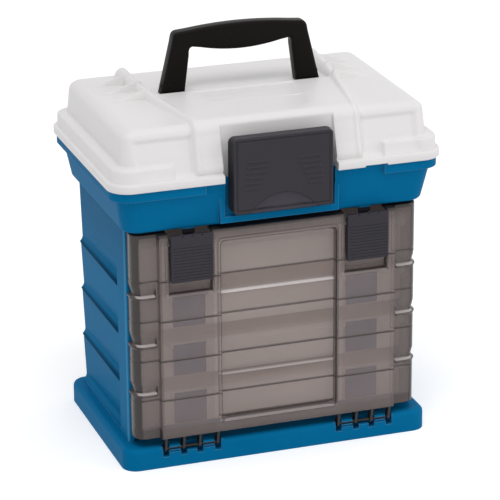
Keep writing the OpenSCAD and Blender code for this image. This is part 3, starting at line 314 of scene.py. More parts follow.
def see_through(name, main, pale, cover, roughness, edge_mm, grain_depth_mm, relief=None):
    """Clear plastic: thin faces let light through, while edges and steep places get painted shade and hide
    more.

    Relief takes the shader and gives the painted shade and the painted highlight of each place. Without it,
    edges get painted shade.
    """
    shader = Shader(name, IOR=1.49, Specular_IOR_Level=0.4)
    cloud = shader.noise(14, 3)
    grain = shader.noise(900, 3)
    streak = shader.noise(60, 3, (0.15, 1, 1))
    round_normal = shader.rounded(edge_mm)
    # painted shade, and a painted highlight where relief gives one
    painted_shade, bright = relief(shader) if relief else (shader.edges(round_normal) * 0.45, cloud * 0)
    base = shader.mix((cloud.above(0.3, 0.75) * 0.6).clamped(), main, pale)
    # colour of the painted highlight
    lit = (0.86, 0.83, 0.83)
    whole = shader.mix(painted_shade.clamped(), base, scaled(main, 0.12))
    shader.feed("Base Color", shader.mix(bright.clamped(), whole, lit))
    hidden = cover + (painted_shade + bright) * 0.6 + streak.above(0.55, 0.8) * 0.06 + cloud * 0.06 - 0.03
    shader.feed("Alpha", hidden.clamped())
    shader.feed("Roughness", (roughness + cloud * 0.08 + grain.above(0.55, 0.9) * 0.08).clamped())
    shader.feed("Normal", shader.bump(grain, grain_depth_mm, round_normal))
    return shader


def placed(name, data, matrix=None):
    """Adds an object to the scene."""
    obj = bpy.data.objects.new(name, data)
    if matrix:
        obj.matrix_world = matrix
    bpy.context.scene.collection.objects.link(obj)
    return obj


def dress(shader, *pieces):
    """Gives CAD nodes, by name, or new pieces one finish."""
    for piece in pieces:
        mesh = (frame["nodes"][piece] if isinstance(piece, str) else piece).data
        mesh.materials.clear()
        mesh.materials.append(shader.material)


# ---------- surfaces ----------


def soft_step(value, width):
    """0 below zero, 1 above width, with a smooth cubic between: s*s*(3-2s)."""
    s = np.clip(np.asarray(value) / width, 0, 1)
    return s * s * (3 - 2 * s)


def bead(value, at, half_width):
    """A rounded bead or groove: 1 - d * d, with d the distance over half_width."""
    return np.clip(1 - ((value - at) / half_width) ** 2, 0, 1)


def points(*parts):
    """Points from their coordinates, which are numbers or arrays whose shapes fit each other."""
    return np.stack(np.broadcast_arrays(*parts), axis=-1)


def to_mesh(name, sheets, angle):
    """Joins sheets of points, each rows by columns by 3 in mm, into one closed mesh.

    Each comes with whether its columns run round and close. Neighbouring points make a face's four corners.
    """
    verts, faces, start = [], [], 0
    for sheet, loops in sheets:
        rows, columns = sheet.shape[:2]
        index = np.arange(rows * columns).reshape(rows, columns) + start
        right = np.roll(index, -1, axis=1)
        if not loops:
            index, right = index[:, :-1], right[:, :-1]
        faces.append(np.stack([index[:-1], right[:-1], right[1:], index[1:]], axis=-1).reshape(-1, 4))
        verts.append(sheet.reshape(-1, 3))
        start += rows * columns
    mesh = bpy.data.meshes.new(name)
    mesh.from_pydata(np.concatenate(verts) * MM, [], np.concatenate(faces))
    return finished(name, mesh, angle)


def finished(name, mesh, angle):
    """Merges points that meet, turns faces outward, smooths them up to the angle and adds the object."""
    work = bmesh.new()
    work.from_mesh(mesh)
    bmesh.ops.remove_doubles(work, verts=work.verts, dist=2e-6)
    bmesh.ops.dissolve_degenerate(work, edges=work.edges, dist=1e-6)
    bmesh.ops.recalc_face_normals(work, faces=work.faces)
    work.to_mesh(mesh)
    work.free()
    mesh.shade_smooth()
    mesh.set_sharp_from_angle(angle=math.radians(angle))
    return placed(name, mesh)


def stretch(values, inner, outer, limit):
    """Keeps values up to inner as they are, and moves those from inner to outer evenly up to limit."""
    size = np.abs(values)
    far = inner + (size - inner) * (limit - inner) / (outer - inner)
    return np.sign(values) * np.where(size > inner, far, size)


def ring(half_x, half_y, corner, along_x, along_y, arc_points):
    """A rectangle with round corners, as points and outward directions, anticlockwise from the front left.

    Each side has the given places along it, so that what is moulded into it has points where it begins and
    ends. A corner is an arc of 90 degrees: centre plus radius times cosine and sine.
    """
    inner = (0.9 * along_x[-1], 0.86 * along_y[-1])
    xs = stretch(along_x, inner[0], along_x[-1], half_x - corner)
    ys = stretch(along_y, inner[1], along_y[-1], half_y - corner)
    turn = np.linspace(0, math.pi / 2, arc_points + 2)[1:-1]
    sides = []
    # each side is laid out as the front one, with the corner at its end, and then turned into place
    for along, far, near, cos, sin in (
        (xs, half_x, half_y, 1, 0),
        (ys, half_y, half_x, 0, 1),
        (-xs[::-1], half_x, half_y, -1, 0),
        (-ys[::-1], half_y, half_x, 0, -1),
    ):
        flat = np.zeros_like(along)
        run = np.stack([along, flat - near, flat, flat - 1])
        bend_x = far - corner + corner * np.sin(turn)
        bend_y = corner - near - corner * np.cos(turn)
        bend = np.stack([bend_x, bend_y, np.sin(turn), -np.cos(turn)])
        x, y, out_x, out_y = np.concatenate([run, bend], axis=1)
        place = (x * cos - y * sin, x * sin + y * cos)
        outward = (out_x * cos - out_y * sin, out_x * sin + out_y * cos)
        sides.append(points(*place, *outward))
    return np.concatenate(sides)


def spread(*stops):
    """Places from the first stop to the last, by the step that comes with the stop they lead to."""
    places = [np.array([stops[0]], float)]
    for (end, step), begin in zip(stops[1:], [stops[0]] + [s[0] for s in stops[1:-1]]):
        count = max(1, round((end - begin) / step))
        places.append(np.linspace(begin, end, count + 1)[1:])
    return np.concatenate(places)


def both_ways(places):
    """The same places on both sides of zero."""
    return np.unique(np.concatenate([-places, places]))


def plate(outline, at, half, edge):
    """A flat plate: an outline carried along X from at - half to at + half, with rounded rims.

    At a rim the outline shrinks to its middle by edge * (1 - sine), and its depth goes by 1 - cosine.
    """
    low, high = at - half, at + half
    middle = outline.mean(axis=0)
    away = outline - middle
    size = np.linalg.norm(away, axis=1, keepdims=True)
    turn = np.linspace(0, math.pi / 2, 4)
    inset, depth = edge * (1 - np.sin(turn)), edge * (1 - np.cos(turn))
    rims = [*zip(inset, low + depth), *zip(inset[::-1], (high - depth)[::-1])]
    # the ends are closed by rows that lie in the middle
    rows = [(0 * away, low), *((away * (1 - draw / size), place) for draw, place in rims), (0 * away, high)]
    return np.array([np.insert(middle + reach, 0, place, axis=1) for reach, place in rows]), True


def joined(first, second):
    """The faces between two rows of points, which are given by their numbers."""
    return np.stack([first[..., :-1], first[..., 1:], second[..., 1:], second[..., :-1]], axis=-1)


def arc(centre, radius, begin, end, count):
    """Points along an arc from one angle to another, in degrees."""
    turn = np.radians(np.linspace(begin, end, count))
    return np.asarray(centre) + radius * points(np.cos(turn), np.sin(turn))


def disc(centre, radius, count):
    """Points round a circle."""
    return arc(centre, radius, 0, 360, count + 1)[:-1]


# ---------- lid ----------

# heights of the lid's deck and of the top of its walls, in mm
DECK, WALL_TOP = 285.0, 277.0
# what turns about X: the places of the axes in Y and Z, in mm
HANDLE_AXIS = (10.5, 291.9)
LATCH_AXIS = (-90, 267.6)
LID_AXIS = (98, 243.5)
DOOR_AXIS = (-80.6, 15.5)
DOOR_LATCH_AXIS = (-87.5, 193)


def lid_relief(x, y, settings):
    """How far the moulded relief of the lid stands off the plain shape, in mm.

    The middle deck is a raised field whose edge runs from 66 at the front to 79 at its back. A crest
    follows that edge and rises to the back, with the height high * (1 - (d / width)^2)^0.7 at a distance d
    from its line. Three wedges lean against it outside, and the hand recess is a sunk field with soft ends.
    """
    side = np.abs(x)
    deck_half = np.interp(y, [-78, 3], [66, 79])
    deck = settings.deck_mm * soft_step(deck_half - side, 1.6) * soft_step(3.4 - y, 1.8)
    line = np.interp(y, [-74, 0, 65], [66, 79, 83])
    off = np.hypot(side - line, np.maximum(y - 65, 0))
    high = np.interp(y, [-92, -74, 0, 30, 65], [3.2, 3.5, 5.2, 7, settings.crest_mm])
    wide = np.interp(y, [-74, 0, 65], [3.6, 4.8, 6.8])
    relief = np.maximum(deck, high * bead(off, 0, wide) ** 0.7)
    for wedge_y in (2, 25, 48):
        reach = side - line
        slope = np.interp(reach, [2, 29], [8, 0.4]) * soft_step(reach + 2, 1) * soft_step(29.5 - reach, 1)
        relief = np.maximum(relief, slope * soft_step(2 - np.abs(y - wedge_y), 0.7))
        pit = np.hypot((reach - 7) / 2.2, (y - wedge_y + 3.9) / 1.8)
        relief = relief - 3.2 * bead(pit, 0, 1)
    near_half, far_half = np.interp(y, [-33, 2], [39, 45]), np.interp(y, [-60, -33], [34, 40])
    near = soft_step(near_half - side, 3) * soft_step(1 - y, 1.6) * soft_step(y + 33, 2)
    far = soft_step(far_half - side, 3) * soft_step(-34 - y, 1.6) * soft_step(y + 60, 2)
    lines = sum(soft_step(1.2 - np.abs(y - at), 1) for at in (-12, -22)) * soft_step(38 - side, 2)
    return relief - 1.7 * near - 0.9 * far + 0.5 * lines


def lid_shell(name, settings):
    """The lid: a deck with relief, and walls as a profile carried round a rectangle with soft corners.

    A wall point is the ring's point for the profile's width, pushed off by the relief along the profile's
    normal. Where the latch lies, the wall can't come further forward than the back of its recess.
    """
    xs = both_ways(
        spread(0, (45, 2.5), (46.8, 0.9), (47.2, 0.4), (62, 1.6), (92, 0.8), (103, 1.6), (115, 2))
    )
    ys = spread(-72, (-3, 1.3), (54, 0.5), (66, 0.9), (72, 1.5))
    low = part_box("lid")[0][2] / MM
    # wall profile, from the deck down: how far it stands off the deck's edge in X and in Y, height, corner
    turn = np.radians(np.linspace(0, 90, 12))
    sin, cos = np.sin(turn), np.cos(turn)
    shoulder = points(11.3 * sin, 8 * sin, WALL_TOP + 8 * cos, 8 * sin)
    fall = np.linspace(0, 1, 14)[1:]
    wall = points(11.3 + 1.9 * fall, 8 + 5.2 * fall, WALL_TOP - 18.8 * fall, 8 + 5 * fall)
    step = [
        (13.9, 13.9, 257.4, 13.4), (14.6, 14.6, 257.0, 14), (19.3, 17.8, 256.9, 14.6),
        (20.2, 18.7, 256.4, 15), (20.5, 19.0, 255.5, 15), (20.6, 19.1, 251, 15),
        (20.8, 19.3, 247.2, 15), (21.2, 19.7, 246.2, 15.5),
    ]
    plain = [
        (13.7, 13.7, 257.0, 13.4), (14.0, 14.0, 255.9, 14), (14.4, 14.4, 254.4, 14),
        (14.8, 14.8, 253.2, 14), (15.2, 15.2, 251.8, 15), (15.8, 15.8, 249.4, 15),
        (16.5, 16.5, 247.0, 16), (17.2, 17.2, 246.2, 16),
    ]
    flange = [
        (23.0, 21.4, 246.0, 17.5), (23.6, 22.0, 245.8, 18), (23.9, 22.3, 245.3, 18),
        (23.9, 22.3, 243.4, 18), (23.9, 22.3, low + 0.7, 18), (23.6, 22.0, low + 0.1, 17.8),
        (22.8, 21.2, low, 17),
    ]
    ceiling_z = DECK - 2.6
    inside = [
        (13.9, 13.9, low, 13.4), (13.6, 13.6, 244, 13.4), (12.8, 12.8, 247, 13.4),
        (8.7, 5.4, WALL_TOP, 5.4), (7.4, 4.6, 280, 4.8), (4.2, 2.6, 281.9, 3), (0, 0, ceiling_z, 0.5),
    ]
    tables = [np.array([*shoulder, *wall, *middle, *flange]) for middle in (step, plain)]

    def carried(table):
        return np.array([ring(115 + ox, 72 + oy, corner, xs, ys, 9) for ox, oy, _, corner in table])

    # the walls have a step all round, but for the middle of the front
    stepped, smooth = (carried(table) for table in tables)
    step_z, smooth_z = (table[:, 2:3] for table in tables)
    front = stepped[..., 3] < -0.7
    has_step = np.where(front, soft_step(np.abs(stepped[..., 0]) - 86, 1.8), 1)
    x, y, out_x, out_y = np.moveaxis(smooth + (stepped - smooth) * has_step[..., None], -1, 0)
    z = smooth_z + (step_z - smooth_z) * has_step
    # the profile's normal, outwards and up
    lean = np.gradient(tables[1][:, 0]), np.gradient(tables[1][:, 2])
    size = np.hypot(*lean)
    out, up = (-lean[1] / size)[:, None], (lean[0] / size)[:, None]
    fade = np.clip((z - 246) / 3, 0, 1)
    side = np.abs(x)
    push = lid_relief(x, np.clip(y, -92, 72), settings) * fade
    panel = soft_step(side - 70, 1.2) * soft_step(117.5 - side, 1.6)
    panel = panel * soft_step(z - 247.4, 1.2) * soft_step(276.5 - z, 1.4)
    groove = bead(side, 70.6, 1.6) * soft_step(281 - z, 3)
    push = push - np.where(front, settings.panel_mm * panel + 0.5 * groove * fade, 0)
    outer = points(x + push * out * out_x, y + push * out * out_y, z + push * up)
    recess, notch = front & (side < 47), front & (x > 70.4) & (x < 89.6)
    outer[recess, 1] = np.maximum(outer[recess, 1], -80.4)
    outer[notch, 2] = np.maximum(outer[notch, 2], low + 1.5)
    # the first row is the deck's edge itself, so that the two meet
    outer[0] = points(x[0], y[0], DECK + lid_relief(x[0], y[0], settings))

    deck_x, deck_y = np.meshgrid(xs, ys)
    deck = points(deck_x, deck_y, DECK + lid_relief(deck_x, deck_y, settings))

    x, y, _, out_y = np.moveaxis(carried(inside), -1, 0)
    inner = points(x, y, np.array(inside)[:, 2:3])
    # the wall behind the latch's recess
    behind = (out_y < -0.7) & (np.abs(x) < 49.8)
    inner[behind, 1] = np.maximum(inner[behind, 1], -77.8)
    ceiling = inner[-1][None] * [1, 1, 0] * np.array([0.6, 0.3, 0])[:, None, None] + [0, 0, ceiling_z]
    rim = np.concatenate([outer, inner, ceiling])
    return to_mesh(name, [(rim, True), (deck, False)], 50)


def lid_lugs(name):
    """Lugs for the handle, the latch and the hinges: plates across X, with round ends on straight roots."""
    handle = np.array([*arc(HANDLE_AXIS, 4, 0, 180, 16), (6.1, 284), (14.9, 284)])
    # the latch's upper wall swings down behind the pin, so the root leaves it from its lower half
    latch = np.array([*arc(LATCH_AXIS, 3.6, 0, 270, 16), (-79.6, 260.4), (-79.6, 265.8)])
    hinge = np.array([*arc(LID_AXIS, 4.2, 90, -111.6, 20), (89.5, 241.4), (89.5, 250.4)])
    sheets = []
    for sign in (-1, 1):
        sheets.append(plate(handle, sign * 57.75, 3.6, 0.4))
        sheets.append(plate(latch, sign * 33, 3.5, 0.4))
        sheets.append(plate(hinge, sign * 78, 7, 0.4))
    return to_mesh(name, sheets, 30)


# ---------- handle ----------


def superellipse(count, power):
    """A square with soft corners: cosine and sine, each raised to 2 / power with its sign kept."""
    turn = np.linspace(0, 2 * math.pi, count, endpoint=False)
    return [np.sign(v) * np.abs(v) ** (2 / power) for v in (np.cos(turn), np.sin(turn))]


def handle_bow(name):
    """The carry handle: a section with soft corners, carried from one foot over the grip to the other.

    At each station the section spans from the outer line to the inner one, and its thickness is even. The
    grip's upper line is an arc, and its lower line is a parabola that hangs in the middle.
    """
    foot, top = HANDLE_AXIS[1] - 6.2, 339.6
    rest = 1 - np.linspace(0, 1, 9)[1:]

    def line(foot_x, knee, bend, grip_x, grip_z, rise):
        """A straight leg, the bend's arc and half of the grip, and the same mirrored."""
        leg = np.linspace((foot_x, foot), knee, 14)[:-1]
        left = np.concatenate([leg, bend, points(grip_x * rest, grip_z + rise * rest**2)])
        return np.concatenate([left, left[-2::-1] * [-1, 1]])

    outer_bend = arc((-52, top - 8.7), 5.2, 172, 97, 8)
    inner_bend = arc((-40, top - 20.4), 3.6, 180, 100, 8)
    outer = line(-68, (-57.2, top - 9), outer_bend, -50, top, -3.6)
    inner = line(-47.5, (-43.4, top - 21.4), inner_bend, -38.5, top - 22, 5.2)
    middle, reach = (outer + inner) / 2, (outer - inner) / 2
    a, b = superellipse(40, 5.5)
    stations = np.linspace(-1, 1, len(outer))
    swell = 1 - 0.05 * np.abs(stations) ** 4
    x = middle[:, None, 0] + reach[:, None, 0] * a
    z = middle[:, None, 1] + reach[:, None, 1] * a
    body = points(x, HANDLE_AXIS[0] + 6.5 * swell[:, None] * b, z)
    # each foot is closed by its middle and a smaller ring, which lie a little lower
    sizes, lower = np.array([0, 0.9])[:, None, None], [0, 0, 0.6]
    caps = [sole.mean(axis=0) + (sole - sole.mean(axis=0)) * sizes - lower for sole in (body[0], body[-1])]
    return to_mesh(name, [(np.concatenate([caps[0], body, caps[1][::-1]]), True)], 50)


# ---------- lid latch ----------

# heights of the face's foot and head, and the width and height of the scoop's arch, in mm
LATCH_FOOT, LATCH_HEAD = 213.6, 275.6
SCOOP_HALF, SCOOP_HIGH = 29, 15


def latch_face(x, z, settings):
    """Relief of the lid latch's face in mm: a fine groove in its rim, short grip lines and a finger scoop.

    The scoop lies under the arch z = foot + high * (1 - (x / half)^2), and gets deeper towards the foot.
    """
    rim = np.minimum(np.minimum(41.35 - np.abs(x), z - LATCH_FOOT), LATCH_HEAD - z)
    relief = -0.7 * bead(rim, 2.6, 0.8) + 0.2 * soft_step(rim - 3, 1)
    arch = LATCH_FOOT + SCOOP_HIGH * (1 - (x / SCOOP_HALF) ** 2) - z
    relief = relief - settings.scoop_mm * (0.65 * soft_step(arch, 12) + 0.35 * soft_step(arch, 1.1))
    for i in range(6):
        length = soft_step(33.5 - 0.6 * i - np.abs(x), 0.8) * soft_step(np.abs(x) - (20 - 1.9 * i), 0.8)
        relief = relief + 0.75 * bead(z, 234 + i * 4.4, 0.9) * length
    return relief


def latch_cap(name, settings):
    """The lid latch: a face with relief, sides that flare to the back, and a hollow back with ribs."""
    xs = both_ways(spread(0, (37, 0.8), (39.5, 0.4)))
    zs = both_ways(spread(0, (27, 0.55), (29.2, 0.4)))
    middle_z, front, back = 244.6, -98.0, -88.2
    # distance outside the face's flat field, depth, corner
    rows = [
        (0.0, front - 0.25, 0.0), (0.9, front - 0.2, 1.4), (1.5, front + 0.1, 2.4),
        (1.85, front + 0.7, 3.2), (1.95, front + 1.5, 3.6), (2.3, front + 3.0, 4.0),
        (3.0, front + 6, 4.4), (3.6, back - 1.0, 4.8), (3.5, back - 0.3, 4.8), (3.0, back, 4.4),
        (1.6, back, 3.4), (1.2, back - 0.4, 3.0), (0.2, front + 2.6, 2.4), (-0.4, front + 2.2, 2.0),
    ]
    spots = [ring(39.5 + out, 29.2 + min(out, 1.85), corner, xs, zs, 6) for out, _, corner in rows]
    x, z, *_ = np.moveaxis(spots, -1, 0)
    rim = points(x, np.array(rows)[:, 1:2], z + middle_z)
    rim[0, :, 1] = front - latch_face(rim[0, :, 0], rim[0, :, 2], settings)
    floor_x, floor_z = np.meshgrid(xs, zs + middle_z)
    face = points(floor_x, front - latch_face(floor_x, floor_z, settings), floor_z)
    # the hollow's floor keeps the last row's depth, and draws in to the middle
    middle = np.array([0, 0, middle_z])
    draw = np.array([[0.5, 1, 0.5], [0, 1, 0]])
    hollow = middle + (rim[-1][None] - middle) * draw[:, None]
    sheets = [(np.concatenate([rim, hollow]), True), (face, False)]
    rib = np.array([(front + 2, 217), (back - 0.8, 217), (back - 0.8, 258), (front + 2, 262)])
    for rib_x in (-27, -13.5, 0, 13.5, 27):
        sheets.append(plate(rib, rib_x, 0.8, 0.2))
    sheets.append(plate(disc((-90.4, 219.4), 1.3, 16), 0, 28, 0.3))
    arm = np.array([(-91.5, 264.6), (-91.5, 270.6), (front + 2, 271.6), (front + 2, 263.6)])
    for end in (-27.2, -38.0, 27.2, 38.0):
        sheets.append(plate(disc(LATCH_AXIS, 3.4, 24), end, 1.3, 0.3))
        sheets.append(plate(arm, end, 1.3, 0.2))
    return to_mesh(name, sheets, 35)


# ---------- door ----------

# heights on the door in mm: its fine lines, the ledges of its side strips and those of its window
FINE_LINES = (59, 92.8, 126.6, 160.4)
SHELVES = (63.6, 105.2, 146.8)
FIELDS = (73.4, 143.8)
# half the width of the proud middle panel, and the window and the latch pockets in it, in mm
PANEL_HALF = 100.9
WINDOW_HALF, WINDOW_CORNER = 49.2, 4
WINDOW_LOW, WINDOW_HIGH = 34.3, 189.3
POCKET_X, POCKET_HALF, POCKET_FOOT = 74, 18.2, 148.5


def ledge(z, at, fade):
    """A sawtooth up the door: 0 below a ledge, 1 just above it, and back to 0 over the length fade."""
    return soft_step(z - at, 0.9) * np.clip(1 - (z - at - 0.9) / fade, 0, 1)


def inside_frame(x, z, half_x, low, high, corner):
    """Distance inwards from the edge of a rectangle with round corners, below 0 outside it."""
    dx = np.abs(x) - half_x + corner
    dz = np.abs(z - (low + high) / 2) - (high - low) / 2 + corner
    return corner - np.hypot(np.maximum(dx, 0), np.maximum(dz, 0)) - np.minimum(np.maximum(dx, dz), 0)


def door_form(x, z, grow, settings):
    """How far the door stands off the plane of its side strips, in mm.

    The middle panel is proud, and the window and the two latch pockets are sunk into it. Ledges cross the
    window and the strips as sawteeth, each with a bead along it. The back face has the same form, with each
    hollow wider by grow.
    """
    side = np.abs(x)
    form = 5 * soft_step(PANEL_HALF - grow - side, 1.4)
    depth = inside_frame(x, z, WINDOW_HALF + grow, WINDOW_LOW - grow, WINDOW_HIGH + grow, WINDOW_CORNER)
    window = soft_step(depth, 1.5)
    teeth = sum(2.4 * ledge(z, at, fade) for at, fade in zip(FIELDS, (7.6, 8.7)))
    teeth = teeth + 1.6 * (1 - soft_step(z - 35.5, 3.5))
    form = form - window * (settings.window_mm + teeth - 0.5 * sum(bead(z, at - 0.4, 1.1) for at in FIELDS))
    beside = POCKET_HALF + grow - np.abs(side - POCKET_X)
    pocket = soft_step(beside, 1) * soft_step(z - POCKET_FOOT + grow, 1.2)
    form = form - pocket * (1.8 + 2.6 * soft_step(161 - z, 11))
    strip = soft_step(side - 101.6, 0.8)
    for at in SHELVES:
        form = form + strip * (settings.bead_mm * bead(z, at, 1.3) ** 0.6 - 1.9 * ledge(z, at + 0.8, 8))
    if grow == 0:
        form = form - 0.4 * sum(bead(z, at, 0.7) for at in FINE_LINES)
    return form


def door_panel(name, settings):
    """The door: its form carried across the front and round both ends, with a back face and two flanges.

    Across the door the base line runs straight, turns by an arc of 90 degrees and runs back along the side.
    The front of each latch pocket is left open above the latch's foot, where the latch's hook goes through.
    """
    half, fold, plane, thick = 120.5, 9.0, -81.0, 2.2
    low, high, pocket_top = 25.5, 199.6, 188.8
    turn = half - fold
    arc_end = turn + fold * math.pi / 2
    flat = (47, 3.2), (52.2, 0.6), (53.4, 1.2), (57, 0.6), (91, 3.4), (94.6, 0.6), (97.2, 1.3), (102.6, 0.6)
    s = both_ways(spread(0, *flat, (turn, 3), (arc_end, 1.1), (arc_end + 6.2, 3.1)))
    near = np.arange(-3, 3.01, 0.6)
    lines = (low, WINDOW_LOW, 40, *FINE_LINES, *SHELVES, *FIELDS, 150.4, pocket_top, WINDOW_HIGH, high)
    z = np.concatenate([np.arange(low, high, 2.4), *(at + near for at in lines)])
    z = np.unique(np.round(z[(z > low) & (z < high)] / 0.3)) * 0.3
    z = np.unique(np.concatenate([[low, pocket_top, high], z]))
    bend = np.clip((np.abs(s) - turn) / fold, 0, math.pi / 2)
    base_x = np.sign(s) * (np.minimum(np.abs(s), turn) + fold * np.sin(bend))
    base_y = plane + fold * (1 - np.cos(bend)) + np.maximum(np.abs(s) - arc_end, 0)
    out_x, out_y = np.sign(s) * np.sin(bend), -np.cos(bend)

    def face(grow, depth, heights):
        stand = door_form(s[None], heights[:, None], grow, settings) - depth
        return points(base_x + stand * out_x, base_y + stand * out_y, heights[:, None])

    front = face(0, 0, z)
    back = face(thick, thick, np.clip(z, low + thick, high - thick))
    for row in (0, -1):
        front[row] -= 0.5 * points(out_x, out_y, 0)
    flanges = []
    for row, height, inner in ((-1, high, high - thick), (0, low + thick, low)):
        x, y, _ = front[row].T
        deep = points(np.clip(x, 0.5 - half, half - 0.5), np.maximum(y, -73), 0)
        flanges.append(np.stack([deep + [0, 0, height], deep + [0, 0, inner]]))
    rows = np.concatenate([front, flanges[0], back[::-1], flanges[1]])
    count, n = len(z), len(rows)
    index = np.arange(n * len(s)).reshape(n, len(s))
    faces = joined(index, np.roll(index, -1, axis=0))
    # the openings above the latch pockets: their faces go, and rims join the front to the back
    middle_x = np.abs((base_x[1:] + base_x[:-1]) / 2)
    open_column = np.abs(middle_x - POCKET_X) < POCKET_HALF
    first = int(np.searchsorted(z, pocket_top))
    open_row = np.zeros(n, bool)
    open_row[first : 2 * count + 1 - first] = True
    kept = faces[~(open_row[:, None] & open_column[None])]
    mate = (2 * count + 1 - np.arange(n)) % n
    sill = joined(index[first], index[mate[first]])[open_column]
    rims = []
    jambs = [(column, first) for column in np.flatnonzero(np.diff(open_column)) + 1]
    for column, begin in [(0, 0), (len(s) - 1, 0), *jambs]:
        up = np.arange(begin, count)
        rims.append(joined(index[up, column], index[mate[up], column]))
        rims.append(index[[count - 1, count, count + 1, count + 2], column][None])
        if begin == 0:
            rims.append(index[[0, n - 1, n - 2, n - 3], column][None])
    mesh = bpy.data.meshes.new(name)
    mesh.from_pydata(rows.reshape(-1, 3) * MM, [], np.concatenate([kept, sill, *rims]))
    return finished(name, mesh, 40)


def door_fittings(name):
    """The door's hinge fins and rods below, and its latches' lugs above: plates and rods across X."""
    sheets = []
    fin = np.array([*arc(DOOR_AXIS, 2.6, 0, -180, 14), (-85.3, 26.4), (-78.8, 26.4)])
    lug = np.array([*arc(DOOR_LATCH_AXIS, 2.4, 90, 270, 14), (-83.8, 181), (-83.8, 188.6)])
    for sign in (-1, 1):
        hinge = sign * 74.25
        for fin_x in (-22.05, -6.85, 6.85, 22.05):
            sheets.append(plate(fin, hinge + fin_x, 1.1, 0.25))
        sheets.append(plate(disc(DOOR_AXIS, 1.3, 20), hinge, 23.1, 0.3))
        for lug_x in (-11.5, 11.5):
            sheets.append(plate(lug, sign * POCKET_X + lug_x, 1.5, 0.25))
    return to_mesh(name, sheets, 35)


# ---------- operators ----------


class CABINET_OT_stage(bpy.types.Operator):
    """Sets up the floor, the lamps and the camera"""

    bl_idname = "cabinet.stage"
    bl_label = "Stage"

    def execute(self, context):
        settings = context.scene.cabinet_stage
        scene = context.scene
        scene.view_settings.view_transform = "Standard"

        # a floor that is a little brighter where it is looked at, and keeps the cabinet's shadow
        reach = 6
        corners = [(x, y, 0) for y in (-reach, reach) for x in (-reach, reach)]
        mesh = bpy.data.meshes.new("floor")
        mesh.from_pydata(corners, [], [(0, 1, 3, 2)])
        shader = Shader("floor_white", Roughness=0.9, Specular_IOR_Level=0.1)
        shader.surface.inputs["Base Color"].default_value = (*colour(246, 246, 246), 1)
        strength = shader.looked_at() * 0.33
        glow = shader.add("ShaderNodeEmission", {}, {"Color": (1, 1, 1, 1), "Strength": strength})
        both = shader.add("ShaderNodeAddShader", {}, {0: Value(shader, shader.surface.outputs[0]), 1: glow})
        shader.tree.links.new(both.socket, shader.output.inputs["Surface"])
        mesh.materials.append(shader.material)
        floor = placed("floor", mesh)

        # white where it is looked at, and less bright as a light
        scene.world = bpy.data.worlds.new("studio")
        scene.world.use_nodes = True
        sky = Graph(scene.world.node_tree)
        background = next(n for n in sky.tree.nodes if n.type == "BACKGROUND")
        background.inputs["Color"].default_value = (1, 1, 1, 1)
        level = sky.add("ShaderNodeMapRange", {}, {"Value": sky.looked_at(), "To Min": 0.62, "To Max": 1.0})
        sky.tree.links.new(level.socket, background.inputs["Strength"])

        def aimed(place, target):
            """Stands at a place, with the -Z axis towards the target."""
            turn = (Vector(target) - Vector(place)).to_track_quat("-Z", "Y")
            return Matrix.Translation(place) @ turn.to_matrix().to_4x4()

        for name, place, size, power in (
            ("key", (-0.5, -1.25, 2.85), (1.6, 1.2), settings.key_power),
            ("fill", (1.9, -0.9, 1.1), (1.2, 1.2), settings.fill_power),
        ):
            data = bpy.data.lights.new(name, "AREA")
            data.shape = "RECTANGLE"
            data.size, data.size_y = size
            data.energy = power
            placed(name, data, aimed(place, (0, 0, 0.15)))

        data = bpy.data.cameras.new("camera")
        data.lens = settings.lens_mm
        data.sensor_width = 36
        turn = Matrix.Rotation(settings.camera_roll, 4, "Z")
        scene.camera = placed("camera", data, aimed(settings.camera_place, settings.camera_target) @ turn)
        return {"FINISHED"}


class CABINET_OT_shell(bpy.types.Operator):
    """Finishes the blue base, walls, back and tub"""

    bl_idname = "cabinet.shell"
    bl_label = "Shell"

    def execute(self, context):
        c, f = context.scene.cabinet_colours, context.scene.cabinet_finish

        def painted_light(shader):
            """Painted shade: deep blue on what looks up below the tub, and a little of it fading in towards
            the tub.

            The walls' front edges get a paler painted highlight, and the keepers of the door's latches a
            dark painted shadow.
            """
            depth, height = shader.along(1), shader.along(2)
            tub_foot = 0.2
            # painted shade on faces that look up
            shelf = shader.facing(2).above(0.45, 0.8)
            shelf = shelf * height.above(0.019, 0.024) * height.below(0.196, tub_foot)
            shade = height.above(0.12, tub_foot) * height.below(tub_foot, 0.2005)
            # painted highlight along the walls' front edges
            wall_front_highlight = abs(shader.along(0)).above(0.1205, 0.1222) * depth.below(-0.0635, -0.0625)
            wall_front_highlight = wall_front_highlight * height.above(0.018, 0.0185) * height.below(tub_foot, 0.2005)
            # painted shadow on the keepers under the tub's front
            keeper_shadow = height.above(0.1974, 0.1978) * height.below(0.2016, 0.202)
            keeper_shadow = keeper_shadow * depth.below(-0.0805, -0.0795)
            # the dark blue of the painted shade
            deep = scaled(c.blue, 0.35)
            return (
                (shelf * 0.8, deep),
                (shade * 0.3, deep),
                (wall_front_highlight * 0.5, colour(96, 158, 200)),
                (keeper_shadow, scaled(c.grey, 0.5)),
            )

        shader = moulded(
            "blue_plastic", c.blue, c.blue_pale, roughness=0.5, edge_mm=f.edge_mm, edge_highlight=0.45,
            specular=0.15, ior=1.18, painted_light=painted_light,
        )
        dress(shader, "base", "left_side_wall", "right_side_wall", "back_panel", "tub")
        return {"FINISHED"}


class CABINET_OT_lid(bpy.types.Operator):
    """Finishes the white lid"""

    bl_idname = "cabinet.lid"
    bl_label = "Lid"

    def execute(self, context):
        c = context.scene.cabinet_colours
        shell = lid_shell("lid_shell", context.scene.cabinet_moulds)
        lugs = lid_lugs("lid_lugs")
        shader = moulded(
            "white_plastic", c.white, scaled(c.white, 1.05), roughness=0.42, edge_mm=0.9, edge_highlight=0.8,
            specular=0.5, ior=1.38, grain=1.4, grain_depth_mm=0.03,
        )
        dress(shader, shell, lugs)
        for piece in (shell, lugs):
            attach(piece, "lid")
            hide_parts("lid")
        return {"FINISHED"}


